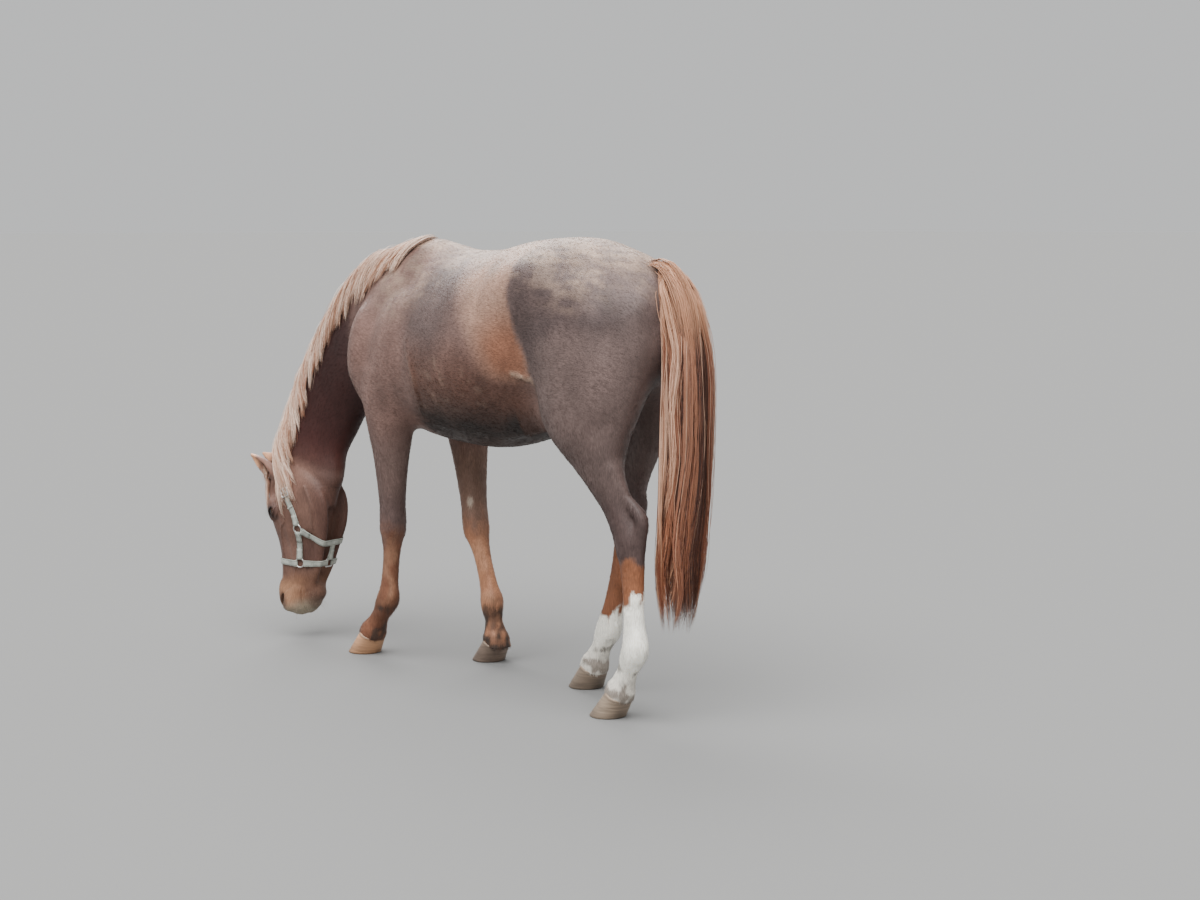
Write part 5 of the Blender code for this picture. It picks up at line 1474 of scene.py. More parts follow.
def make_eye(side, name):
    out, along, up = eye_axes(side)
    bm = bmesh.new()
    bmesh.ops.create_uvsphere(bm, u_segments=72, v_segments=48, radius=EYE_R)
    mesh = bpy.data.meshes.new("eyeball")
    bm.to_mesh(mesh)
    bm.free()
    local = np.array([v.co for v in mesh.vertices])
    ahead = np.clip(local[:, 2] / EYE_R, -1, 1)
    local[:, 2] += CORNEA * ramp(ahead, .82, 1.0)
    across, height = local[:, 0] / EYE_R, local[:, 1] / EYE_R
    colours = np.tile(IRIS, (len(local), 1)).astype(float)
    paint(colours, WHITE, ramp(np.hypot(across / .66, height / .52), 1.0, 1.25) * (ahead > 0))
    pupil = 1 - ramp(np.hypot(across / .40, height / .16), .85, 1.05)
    paint(colours, PUPIL, pupil * (ahead > 0))
    placed = eye_middle(side) + local @ np.array([along, up, out])
    mesh.vertices.foreach_set("co", (placed - (0, MIDDLE_Y, 0)).astype(np.float32).ravel())
    if np.cross(along, up) @ out < 0:
        mesh.flip_normals()
    mesh.shade_smooth()
    tinted(mesh, colours)
    made, tree, shader = new_material("eyeball_" + name, {"Roughness": .05, "IOR": 1.376})
    tree.links.new(tint_of(tree), shader.inputs["Base Color"])
    piece("eyeball_" + name, mesh, made, "eye", "eye_" + name)


# ---- the hooves

ROUND, RINGS = 72, 30     # the wall's points round it, and its rings from the ground up
SOLE = ((.5, .006), (.86, .005), (.93, 0))        # rings under the foot: share of the outline, height
COVER = ((.80, .002), (.40, .005))                # rings over the coronet: share, and how far below
HEEL_LENGTH = .86        # the outline's length behind its middle against that in front
HORN = {("fore", 1): (.44, .235, .125), ("fore", -1): (.17, .12, .09),
        ("hind", 1): (.24, .18, .13), ("hind", -1): (.20, .15, .11)}
CORONET_HORN = (.30, .22, .16)


def hoof_material():
    made, tree, shader = new_material("hoof_horn", {"Roughness": .5})
    rings = stretched_noise(tree, (14, 14, 150))
    colour = shaded_by(tree, tint_of(tree), rings, .70, 1.25)
    tree.links.new(colour, shader.inputs["Base Color"])
    roughened(tree, shader, rings, .5, .0015)
    return made


def make_hoof(which, side, name, coronet, material):
    """The horn wall from a level sole to the coronet, with its growth rings and rounded edges."""
    toe = toe_way(which, side)
    across = np.cross(toe, Z)
    band = band_cut(coronet, toe)
    middle = band[0] * (1, 1, 0) + toe * band[0][2] / tan(radians(WALL_ANGLE))
    turn = np.linspace(0, 2 * pi, ROUND, endpoint=False)
    ahead = np.cos(turn) * np.where(np.cos(turn) > 0, 1.0, HEEL_LENGTH) * HOOF_LENGTH / 2
    off = toe * ahead[:, None] + across * (np.sin(turn) * HOOF_WIDTH / 2)[:, None]
    ground = middle + off
    up = (band[0] + TAPER * off) - ground
    top = (-past(ground + GAP / 2 * band[1], band) / (up @ band[1]))[:, None]
    wall = np.linspace(0, 1, RINGS)
    rows = [(middle + off * k) * (1, 1, 0) + height * Z for k, height in SOLE]
    for share in wall:
        growth = .00028 * sin(share * 47 + 3 * sin(share * 9))
        swell = growth + .0016 * (share > .9) * sin((share - .9) * 10 * pi)
        edge = -.0035 * (1 - min(1, share / .05)) ** 2
        rows.append(ground + up * top * share + unit(off) * (swell + edge))
    rim = rows[-1]
    rows += [band[0] + (rim - band[0]) * k - drop * band[1] for k, drop in COVER]
    shares = np.concatenate([np.zeros(len(SOLE)), wall, np.ones(len(COVER))])
    points = np.concatenate([*rows, [rows[0].mean(0)], [rows[-1].mean(0)]])
    count = len(rows)
    ring = np.arange(ROUND)
    after = (ring + 1) % ROUND
    last = (count - 1) * ROUND
    low = np.stack([after, ring, np.full(ROUND, count * ROUND)], 1)
    high = np.stack([last + ring, last + after, np.full(ROUND, count * ROUND + 1)], 1)
    mesh = faced_outward(mesh_of("hoof", points, [ring_quads(count, ROUND), np.concatenate([low, high])]))
    share = np.concatenate([np.repeat(shares, ROUND), [0, 1]])
    colours = np.tile(np.array(HORN[which, side], float), (len(points), 1))
    colours *= (.75 + .45 * share + .15 * ripple(points, .05, 11))[:, None]
    paint(colours, CORONET_HORN, ramp(share, .88, .97) * .7)
    tinted(mesh, np.clip(colours, 0, 1))
    piece(f"horn_{which}_{name}", mesh, material, "hoof", f"hoof_{which}_{name}")


# ---- the short coat: joined tufts that lie along the skin

TUFTS, TUFT_PIECES, TUFT_PLACES = 90000, 5, 3
TUFT_LENGTH, TUFT_HALF = .019, .00110      # on the body, and less on the head and shins
TUFT_ROOT = -.0010                         # how far under the skin a tuft begins


def on_skin(points, triangles, facing, weight, count):
    """Random places on the skin: where they are and the way out there."""
    corners = points[triangles]
    area = np.linalg.norm(np.cross(corners[:, 1] - corners[:, 0], corners[:, 2] - corners[:, 0]), axis=1)
    heap = np.cumsum(area * weight(corners.mean(1)))
    chosen = np.searchsorted(heap, random.uniform(0, heap[-1], count))
    share = random.dirichlet((1, 1, 1), count)[:, :, None]
    return (corners[chosen] * share).sum(1), unit((facing[triangles[chosen]] * share).sum(1))


def tufts(roots, out, way, length, half, lift, colours, thin=.35):
    """One tapering tuft at each root, which rises and then lies along the skin."""
    count = len(roots)
    share = np.linspace(0, 1, TUFT_PLACES)[None, :, None]
    rise = np.interp(share, (0, .5, 1), (0, 1, .85)) * lift[:, None, None]
    rise = np.where(share == 0, TUFT_ROOT, rise)
    ways = roots[:, None] + way[:, None] * length[:, None, None] * share + out[:, None] * rise
    outward = np.broadcast_to(out[:, None], ways.shape)
    taper = np.interp(share[..., 0], (0, .5, 1), (1, .75, .1))
    widths = half[:, None] * np.broadcast_to(taper, (count, TUFT_PLACES))
    shade = np.interp(share, (0, 1), (.92, 1.12))
    return ways, outward, widths, widths * thin, roots, colours[:, None] * shade


def clear_of_openings(p):
    """0 in the eyes' openings and in the nostrils, and 1 elsewhere."""
    keep = np.ones(len(p))
    for side in (1, -1):
        eye, nostril = eye_middle(side) + eye_axes(side)[0] * EYE_R, on_head(.549, side * .060, .030)
        for place, reach in ((eye, .017), (nostril, .016)):
            keep *= ((p - place) ** 2).sum(1) > reach ** 2
    return keep


def coat_density(p):
    head_share, neck_share, leg_share = regions(p)
    return (1 + 6 * head_share + .3 * neck_share + 1.2 * leg_share) * clear_of_openings(p)


def make_coat(points, triangles, facing, material):
    roots, out = on_skin(points, triangles, facing, coat_density, TUFTS)
    head_share, _, leg_share = regions(roots)
    q = head_places(roots)
    ears = ramp(-q[:, 2], .03, .06) * ramp(.10 - q[:, 0], -.02, .03) * head_share
    shins = ramp(.55 - roots[:, 2], 0, .10) * leg_share
    length = TUFT_LENGTH - .0110 * head_share - .006 * shins - .002 * ears
    heel = ramp(out[:, 1], .1, .7) * shins * ramp(.255 - roots[:, 2], 0, .02) * ramp(roots[:, 2], .09, .13)
    length = (length + .010 * heel) * random.uniform(.7, 1.3, TUFTS)
    half = TUFT_HALF - .00068 * head_share - .0002 * shins
    way = lie_of_coat(roots, out) + .16 * random.normal(size=roots.shape)
    way = unit(way - out * (way * out).sum(1, keepdims=True) * .9)
    lift = random.uniform(.0003, .0013, TUFTS) * (1 - .82 * head_share + .6 * heel)
    colours = markings(roots, out) * random.uniform(.94, 1.12, (TUFTS, 1))
    for i in range(TUFT_PIECES):
        mine = slice(i, None, TUFT_PIECES)
        part = tufts(*(v[mine] for v in (roots, out, way, length, half, lift, colours)))
        coat_piece(f"coat_{i + 1}", [part], material, "coat", flat=True)


LASH_COLOUR, FEELER_COLOUR = (.03, .02, .015), (.30, .22, .16)
LASHES, FEELERS = 34, 90      # over each eye, and on the muzzle
LASH_TURNS, LASH_LINE = (22, 158), (.0172, .0108)    # along the upper lid, round the eye's middle
LASH_OUT = .0042              # from the eyeball
LASH_HALF, FEELER_HALF = .00022, .00020


def bristles(roots, way, droop, length, half, tint):
    """Single long hairs that leave the skin and bend."""
    count, places = len(roots), 7
    share = np.linspace(0, 1, places)[None, :, None]
    ways = roots[:, None] + length[:, None, None] * (way[:, None] * share + droop[:, None] * share ** 2)
    outward = np.broadcast_to(unit(np.cross(way, droop + .01 * Z))[:, None], ways.shape)
    widths = half * np.broadcast_to(np.interp(share[..., 0], (0, 1), (1, .15)), (count, places))
    colours = np.broadcast_to(np.array(tint, float), (count, places, 3))
    return ways, outward, widths, widths, roots, colours


def make_bristles(flesh, material):
    """Lashes over the eyes, and the feelers of the muzzle and the chin."""
    parts = []
    for side in (1, -1):
        out, along, up = eye_axes(side)
        turn = np.radians(np.linspace(*LASH_TURNS, LASHES)) + random.uniform(-.03, .03, LASHES)
        flat = along * LASH_LINE[0] * np.cos(turn)[:, None] + up * LASH_LINE[1] * np.sin(turn)[:, None]
        over = out * (EYE_R ** 2 - (flat ** 2).sum(1, keepdims=True)) ** .5
        roots = eye_middle(side) + flat + over + out * LASH_OUT
        way = unit(out + .35 * unit(flat) + .1 * random.normal(size=roots.shape))
        droop = unit(-Z + .3 * out) * .35 + np.zeros_like(roots)
        length = random.uniform(.010, .016, LASHES)
        parts.append(bristles(roots, way, droop, length, LASH_HALF, LASH_COLOUR))
    spots = np.array([on_head(random.uniform(.50, .595), x, random.uniform(.05, .15))
                      for x in random.uniform(-.055, .055, FEELERS)])
    roots = settle(spots, flesh, 0.0, 8)
    out = normals(roots, flesh)
    way = unit(out + .5 * H_DOWN + .25 * random.normal(size=roots.shape))
    droop = H_DOWN * random.uniform(.1, .4, (FEELERS, 1))
    length = random.uniform(.010, .034, FEELERS)
    parts.append(bristles(roots, way, droop, length, FEELER_HALF, FEELER_COLOUR))
    coat_piece("lashes_and_feelers", parts, material, "coat")


# ---- the long hair

FLAXEN, TAN, AUBURN = (.88, .68, .55), (.64, .41, .29), (.25, .090, .050)
BROWN, STRAW, COPPER, DOCK = (.065, .028, .020), (.72, .45, .31), (.42, .185, .105), (.62, .31, .17)


def at_station(rows, station):
    """The rows of a curve at fractional stations; rows are (curve, station, ...)."""
    station = np.clip(station, 0, rows.shape[1] - 1.001)
    low = station.astype(int)
    part = (station - low)[..., None]
    curve = np.arange(len(rows))[:, None, None]
    return rows[curve, low] * (1 - part) + rows[curve, low + 1] * part


def strands_of(guides, outward, each, places, spread, rise, wave, ends=(.80, 1.0), half=.00075,
               beats=(.6, 1.3), late=0.0):
    """Strands that follow guides of shape (clump, station, 3): spread and rise are (share, metres)
    tables of how far they stray sideways and stand off along their length. Gives their ways,
    outward ways, widths and depths, and how near the outside of its clump each lies."""
    clumps, stations = guides.shape[:2]
    share = np.linspace(0, 1, places)[None, None]
    end = random.uniform(*ends, (clumps, each, 1))
    begin = late * random.uniform(0, 1, (clumps, each, 1)) ** 2
    station = (begin + share * (end - begin)) * (stations - 1)
    middle, out = at_station(guides, station), unit(at_station(outward, station))
    along = unit(np.gradient(middle, axis=2))
    across = unit(np.cross(out, along))
    aside = random.uniform(-1, 1, (clumps, each, 1))
    deep = random.uniform(0, 1, (clumps, each, 1)) * (1 - .35 * aside ** 2)
    sway = wave * share ** 1.2 * np.sin(2 * pi * (random.uniform(*beats, (clumps, 1, 1)) * share
                                                + random.uniform(0, 1, (clumps, 1, 1))))
    curl = .0030 * share * np.sin(2 * pi * (random.uniform(1, 2.5, (clumps, each, 1)) * share
                                            + random.uniform(0, 1, (clumps, each, 1))))
    loose = 1 + 1.6 * (random.uniform(0, 1, (clumps, each, 1)) > .95)
    sideways = aside * loose * np.interp(share, *spread) + sway + curl
    ways = middle + across * sideways[..., None]
    ways = ways + out * (np.interp(share, *rise) * (.15 + .85 * deep) * np.minimum(loose, 1.3))[..., None]
    count = clumps * each
    flat = ways.reshape(count, places, 3)
    taper = np.interp(share[0], (0, .1, .7, 1), (.8, 1, .9, .3))
    widths = taper * random.uniform(.7, 1.25, (count, 1)) * half
    return flat, out.reshape(count, places, 3), widths, widths * .6, deep.reshape(count)


def hair_colours(clumps, each, places, depth, tones, shares, root_shade=.72, tip_shade=1.10):
    """Each clump takes a tone, its strands vary round it, and deeper strands are redder."""
    tones = np.array(tones)
    pick = random.choice(len(tones), clumps, p=shares)
    own = tones[pick][:, None] * random.uniform(.82, 1.18, (clumps, each, 1))
    stray = random.uniform(0, 1, (clumps, each, 1)) > .76
    own = np.where(stray, tones[random.choice(len(tones), (clumps, each))], own)
    own = own.reshape(-1, 3)
    own = own + (np.array(AUBURN) - own) * (.38 * (1 - depth))[:, None]
    shade = np.interp(np.linspace(0, 1, places), (0, .25, 1), (root_shade, 1, tip_shade))
    return own[:, None] * shade[None, :, None]


MANE_CLUMPS, MANE_EACH = 64, 27      # locks along the crest, and strands in each of a lock's layers
MANE_STEPS, MANE_PLACES = 12, 13     # of a lock's way, and of each strand
FORELOCK_CLUMPS, FORELOCK_EACH = 12, 44
FORELOCK_STEPS, FORELOCK_PLACES = 10, 11


def make_mane(pieces, material):
    roots, left = crest(MANE_CLUMPS, pieces)
    share = np.linspace(0, 1, MANE_CLUMPS)
    beat = np.cos(np.arange(MANE_CLUMPS) * pi / 1.6)
    vary = 1 + .10 * beat + random.uniform(-.10, .10, MANE_CLUMPS)
    length = np.interp(share, *LOCK_LENGTHS) * vary
    lean = np.interp(share, *LOCK_LEANS) + .14 * beat + random.uniform(-.10, .10, MANE_CLUMPS)
    start = roots + left * random.uniform(-.014, -.006, (MANE_CLUMPS, 1))
    ways = fall(start, left, lean, length, MANE_STEPS, pieces)
    out = normals(ways.reshape(-1, 3), pieces).reshape(ways.shape)
    guides, outward = ways.swapaxes(0, 1), out.swapaxes(0, 1)
    spread = ((0, .30, .75, 1), (.013, .015, .009, .002))
    rise = ((0, .12, .35, .8, 1), (.004, .019, .022, .016, .008))
    root = np.repeat(guides[:, 0], MANE_EACH, axis=0)
    for name, shares in (("under", (.25, .42, .33)), ("over", (.60, .32, .08))):
        *strands, depth = strands_of(guides, outward, MANE_EACH, MANE_PLACES, spread, rise, .012,
                                     beats=(.8, 1.9), late=.10)
        colours = hair_colours(MANE_CLUMPS, MANE_EACH, MANE_PLACES, depth, (FLAXEN, TAN, COPPER),
                               shares, .80)
        coat_piece("mane_" + name, [(*strands, root, colours)], material, "mane", "mane")


def make_forelock(pieces, material):
    across = np.linspace(-.030, .040, FORELOCK_CLUMPS)
    p = np.array([on_head(-.014 + .010 * sin(i * 2.4), x, -.006) for i, x in enumerate(across)])
    fan = np.linspace(-1, 1, FORELOCK_CLUMPS)
    fan = unit(np.array([H_LEFT * (.10 + .22 * x) + H_DOWN for x in fan]))
    reach = .019 * (1 + .22 * np.cos(np.arange(FORELOCK_CLUMPS) * 2.2))[:, None]
    ways = [settle(p, pieces, 0.0)]
    for _ in range(FORELOCK_STEPS):
        ways.append(settle(ways[-1] + fan * reach, pieces, 0.0, 2))
    ways = np.array(ways)
    out = normals(ways.reshape(-1, 3), pieces).reshape(ways.shape)
    spread = ((0, .4, 1), (.006, .009, .002))
    rise = ((0, .2, .6, 1), (.004, .018, .014, .006))
    *strands, depth = strands_of(ways.swapaxes(0, 1), out.swapaxes(0, 1), FORELOCK_EACH,
                                 FORELOCK_PLACES, spread, rise, .005)
    colours = hair_colours(FORELOCK_CLUMPS, FORELOCK_EACH, FORELOCK_PLACES, depth,
                           (FLAXEN, TAN, AUBURN), (.45, .40, .15))
    root = np.repeat(ways[0], FORELOCK_EACH, axis=0)
    coat_piece("forelock_hair", [(*strands, root, colours)], material, "mane", "forelock")


TAIL_SKIRT = ((.801, .480, .074, .064), (.793, .380, .066, .056), (.787, .270, .052, .044))
TAIL_LAYERS = (    # name, clumps, how far out from the middle, and shares of the four tones
    ("inner", 52, (.25, .70), (.20, .38, .38, .04)), ("outer", 62, (.70, 1.0), (.36, .30, .14, .20)))
TAIL_EACH, TAIL_PLACES, TAIL_STEPS = 33, 16, 20
TAIL_DARK = (-.761, .648)    # the way, in x and y, to the tail's darker side


def make_tail(material):
    """Clumps that leave the dock at their own places and angles, and fall to ragged ends."""
    rows = spline(TAIL[:-3] + TAIL_SKIRT, 6)
    tangent = unit(np.gradient(rows[:, :2], axis=0))
    lower = len(rows) - 1
    share = np.linspace(0, 1, TAIL_STEPS)
    for name, clumps, depth_share, shares in TAIL_LAYERS:
        turn = random.uniform(0, 2 * pi, clumps)
        high = random.uniform(0, 1, clumps) ** .8
        first = np.where(np.sin(turn) > -.35, 26 * high, 14 + 16 * high)
        ends = lower * random.choice((1, .97, .93, .86, .76), clumps, p=(.34, .28, .20, .12, .06))
        station = first[:, None] + (ends - first)[:, None] * share
        y, z, half, deep, along_y, along_z = (
            np.interp(station, np.arange(len(rows)), c) for c in (*rows.T, *tangent.T))
        swell = np.interp(share, (0, .12, .85, 1), (.55, 1, 1, .92))
        swell = swell * random.uniform(*depth_share, (clumps, 1))
        sway = np.sin(share * random.uniform(1, 4, (clumps, 1)))
        turns = turn[:, None] + .35 * sway * random.choice((-1, 1), (clumps, 1))
        side, back = np.cos(turns) * half * swell, np.sin(turns) * deep * swell
        guides = np.stack([side, y - along_z * back, z + along_y * back], -1)
        outward = np.stack([np.cos(turns) / half, -along_z * np.sin(turns) / deep,
                            along_y * np.sin(turns) / deep], -1)
        spread = ((0, .25, .8, 1), (.010, .014, .010, .003))
        rise = ((0, .2, .8, 1), (.002, .010, .012, .006))
        *strands, depth = strands_of(guides, unit(outward), TAIL_EACH, TAIL_PLACES, spread, rise,
                                     .015, (.84, 1.0), .00095, (1.6, 3.2))
        colours = hair_colours(clumps, TAIL_EACH, TAIL_PLACES, depth, (COPPER, AUBURN, BROWN, STRAW),
                               shares, .9)
        x, y, z = np.moveaxis(strands[0], -1, 0)[..., None]
        top = ramp(z, 1.12, 1.30)
        colours = colours * (1 - .7 * top) + np.array(DOCK) * .7 * top
        across = TAIL_DARK[0] * x + TAIL_DARK[1] * (y - .82)
        darker = .16 * ramp(across, .010, .060) - .20 * ramp(-across, .0, .055)
        colours = colours * (1 - darker * (1 - top))
        colours = colours * (1 - np.array((.18, .32, .42)) * ramp(.75 - z, -.25, .35))
        root = np.repeat(guides[:, 0], TAIL_EACH, axis=0)
        coat_piece("tail_" + name, [(*strands, root, colours)], material, "tail", "tail")


# ---- the headcollar: folded and stitched webbing, rings and a buckle

LIFT = .003              # the ways of the webbing over the solids' skin
WEAVE_THICK = .0026
SQUARE = .0148           # from a square ring's middle to its bars
ROUND_EDGE = .0011
STITCH_LINE = .0078      # from the webbing's middle to its dark lines and its stitches
WEB_PALE, WEB_LINE, THREAD = (.40, .42, .37), (.17, .19, .165), (.12, .13, .115)
STEEL = (.62, .61, .59)
STITCH = (("Spacing", .0034), ("Length", .0024), ("Thickness", .00036))
KEEPER = ((-.0122, .0), (-.0122, .0024), (.0, .0030), (.0122, .0024), (.0122, .0), (.0, -.0016))
KEEPER_WIDTH, KEEPER_THICK = .24, .6      # against the strap's own
FOLD = ((.036, .0052), (.026, .0052), (.016, .0054), (.009, .0070), (.004, .0086), (.0, .0090),
        (-.0028, .0078), (-.0040, .0050), (-.0028, .0022), (.0, .0010), (.005, .0012), (.011, .0020),
        (.017, .0026))   # along from the ring's wire and over the skin: the end, folded over the wire
RING_HEIGHT = .0050


def even(way, gap):
    """The way again, its places this far apart."""
    run = run_of(way)
    return read_off(np.linspace(0, run[-1], max(2, round(run[-1] / gap) + 1)), run, way)


def smoothed(rows, rounds):
    for _ in range(rounds):
        padded = np.vstack([rows[:1], rows, rows[-1:]])
        rows = unit(padded[:-2] + 2 * padded[1:-1] + padded[2:])
    return rows


def belt_path(way, pieces, start, end):
    """A strap's path with its folds, and its outward and sideways directions. start and end are
    how far along from each end of the way its ring's wire lies, or None where there is no ring."""
    way = even(way, .002)
    outward = smoothed(normals(way, pieces), 12)
    run = run_of(way)
    first, last = (start or 0), run[-1] - (end or 0)
    rows = [(first + s, h) for s, h in FOLD] if start else []
    inner = (first + (.020 if start else 0), last - (.020 if end else 0))
    rows += [(s, LIFT - .0002) for s in np.arange(inner[0], inner[1] + 1e-6, .003)]
    rows += [(last - s, h) for s, h in FOLD[::-1]] if end else []
    s, h = np.array(rows).T
    out = unit(read_off(s, run, outward))
    side = unit(np.cross(unit(np.gradient(way, axis=0)), outward))
    return read_off(s, run, way) + out * (h - LIFT)[:, None], unit(read_off(s, run, side))


def webbing_outline():
    """A flat cross-section with round edges, as places across and through it."""
    half, thick = WEB / 2 - ROUND_EDGE, WEAVE_THICK / 2 - ROUND_EDGE
    corners = []
    for turn in range(4):
        for step in (0, 45, 90):
            angle = radians(turn * 90 + step)
            x = half if turn in (0, 3) else -half
            y = thick if turn in (0, 1) else -thick
            corners.append((x + ROUND_EDGE * cos(angle), y + ROUND_EDGE * sin(angle)))
    return np.array(corners)


def belt_mesh(name, path, side, outline):
    """Webbing of this outline along a path, and its outward way."""
    out = np.cross(side, unit(np.gradient(path, axis=0)))
    rings = path[:, None] + side[:, None] * outline[None, :, :1] + out[:, None] * outline[None, :, 1:]
    count, size = rings.shape[:2]
    ring = np.arange(size)
    ends = np.stack([ring[::-1], (count - 1) * size + ring])
    mesh = mesh_of(name, rings.reshape(-1, 3), [ring_quads(count, size), ends])
    mapped(mesh, np.stack([np.tile(outline[:, 0], count), np.repeat(run_of(path), size)], 1), "weave")
    return faced_outward(mesh), out


def webbing_material():
    """Grey-green weave in fine ribs, with darker lines inside its edges and soiled patches."""
    made, tree, shader = new_material("webbing", {"Roughness": .85, "Sheen Weight": .15})
    over = node(tree, "ShaderNodeUVMap", uv_map="weave").outputs["UV"]
    split = node(tree, "ShaderNodeSeparateXYZ", {0: over})
    across, along = split.outputs["X"], split.outputs["Y"]

    def math(kind, *values):
        return node(tree, "ShaderNodeMath", enumerate(values), operation=kind).outputs[0]

    off = math("ABSOLUTE", across)
    slant = math("ADD", math("MULTIPLY", along, 2 * pi / .0022), math("MULTIPLY", off, 3600))
    ribs = math("MULTIPLY", math("SINE", slant), math("SINE", math("MULTIPLY", across, 2 * pi / .0028)))
    line = math("LESS_THAN", math("ABSOLUTE", math("SUBTRACT", off, STITCH_LINE)), .0010)
    tone = node(tree, "ShaderNodeMix", {0: line, 6: (*WEB_PALE, 1), 7: (*WEB_LINE, 1)}, data_type="RGBA")
    colour = shaded_by(tree, tone.outputs[2], stretched_noise(tree, (38, 38, 38), 4.0), .62, 1.18)
    ridges = math("ADD", math("MULTIPLY", ribs, .12), .5)
    tree.links.new(shaded_by(tree, colour, ridges, .85, 1.12), shader.inputs["Base Color"])
    roughened(tree, shader, ribs, .6, .0004)
    return made


def stitch_tree(material):
    """Stitches laid end to end along each curve: a thread's length and gap are its inputs."""
    tree = bpy.data.node_groups.new("stitches", "GeometryNodeTree")
    tree.interface.new_socket("Geometry", in_out="INPUT", socket_type="NodeSocketGeometry")
    sockets = {}
    for name, _ in STITCH:
        socket = tree.interface.new_socket(name, in_out="INPUT", socket_type="NodeSocketFloat")
        sockets[name] = socket.identifier
    tree.interface.new_socket("Geometry", in_out="OUTPUT", socket_type="NodeSocketGeometry")
    given = node(tree, "NodeGroupInput").outputs
    curve = node(tree, "GeometryNodeMeshToCurve", {"Mesh": given["Geometry"]})
    spaced = {"Curve": curve.outputs["Curve"], "Length": given["Spacing"]}
    places = node(tree, "GeometryNodeResampleCurve", spaced, mode="LENGTH")
    tangent = node(tree, "GeometryNodeInputTangent").outputs["Tangent"]
    turned = node(tree, "FunctionNodeAlignRotationToVector", {"Vector": tangent}, axis="Z")
    thread = node(tree, "GeometryNodeMeshUVSphere", {"Segments": 6, "Rings": 5, "Radius": 1.0})
    half = node(tree, "ShaderNodeMath", {0: given["Length"], 1: .5}, operation="MULTIPLY")
    thickness = given["Thickness"]
    size = node(tree, "ShaderNodeCombineXYZ", {"X": thickness, "Y": thickness, "Z": half.outputs[0]})
    copies = node(tree, "GeometryNodeInstanceOnPoints", {
        "Points": places.outputs["Curve"], "Instance": thread.outputs["Mesh"],
        "Rotation": turned.outputs["Rotation"], "Scale": size.outputs["Vector"]})
    real = node(tree, "GeometryNodeRealizeInstances", {"Geometry": copies.outputs["Instances"]})
    coloured = node(tree, "GeometryNodeSetMaterial",
                    {"Geometry": real.outputs["Geometry"], "Material": material})
    node(tree, "NodeGroupOutput", {"Geometry": coloured.outputs["Geometry"]})
    return tree, sockets


def stitched(name, lines, tree, sockets, material):
    """Stitches along open lines, as one piece."""
    points = np.concatenate(lines)
    edges, first = [], 0
    for line in lines:
        edges += [(first + i, first + i + 1) for i in range(len(line) - 1)]
        first += len(line)
    mesh = bpy.data.meshes.new(name)
    mesh.from_pydata([tuple(p) for p in points - (0, MIDDLE_Y, 0)], edges, [])
    made = bpy.data.objects.new(name, mesh)
    bpy.context.scene.collection.objects.link(made)
    modifier = made.modifiers.new("stitches", "NODES")
    modifier.node_group = tree
    for socket, value in STITCH:
        modifier[sockets[socket]] = value
    bpy.context.view_layer.update()
    graph = bpy.context.evaluated_depsgraph_get()
    result = bpy.data.meshes.new_from_object(made.evaluated_get(graph))
    bpy.data.objects.remove(made)
    result.shade_smooth()
    return piece(name, result, material, "webbing")


def wire_mesh(way, radius, sides=12):
    """A closed loop of round wire."""
    along = unit(np.roll(way, -1, axis=0) - np.roll(way, 1, axis=0))
    axis = unit(np.cross(way[0] - way[len(way) // 4], way[0] - way[len(way) // 2]))
    out = np.cross(along, axis)
    turn = 2 * pi * np.arange(sides) / sides
    rings = way[:, None] + radius * (out[:, None] * np.cos(turn)[:, None] + axis * np.sin(turn)[:, None])
    return rings.reshape(-1, 3), ring_quads(len(way), sides, closed=True)


def bar_mesh(start, end, radius, sides=12):
    """A straight bar with rounded ends."""
    along = unit(end - start)
    side = unit(np.cross(along, H_FRONT + .3 * H_LEFT))
    out = np.cross(along, side)
    turn = 2 * pi * np.arange(sides) / sides
    circle = np.cos(turn)[:, None] * side + np.sin(turn)[:, None] * out
    rows = [start - along * radius * .9 + circle * radius * .35, start + circle * radius,
            end + circle * radius, end + along * radius * .9 + circle * radius * .35]
    ring = np.arange(sides)
    fans = [np.stack([np.full(sides - 2, base), base + ring[1:-1], base + ring[2:]], 1)
            for base in (0, 3 * sides)]
    return np.concatenate(rows), ring_quads(len(rows), sides), np.concatenate(fans)


def metal_piece(name, shapes, material, *nodes):
    points, quads, triangles, first = [], [], [], 0
    for p, q, *t in shapes:
        points.append(p)
        quads.append(q + first)
        triangles += [x + first for x in t]
        first += len(p)
    polygons = [np.concatenate(quads)] + ([np.concatenate(triangles)] if triangles else [])
    mesh = faced_outward(mesh_of(name, np.concatenate(points), polygons))
    return piece(name, mesh, material, "fittings", *nodes)


def square_way(centre, x, y, half, corner=.0035):
    """The middle of the wire of a square ring with round corners."""
    way = []
    for turn in range(4):
        for step in np.linspace(0, 90, 6):
            angle = radians(turn * 90 + step)
            sx, sy = (1, -1, -1, 1)[turn], (1, 1, -1, -1)[turn]
            way.append(centre + x * (sx * (half - corner) + corner * cos(angle))
                       + y * (sy * (half - corner) + corner * sin(angle)))
    return np.array(way)


def axes_at(spot, way, pieces):
    """Out of the skin at a place, across this way, and along it."""
    out = normals(spot[None], pieces)[0]
    x = unit(np.cross(way, out))
    return out, x, np.cross(out, x)


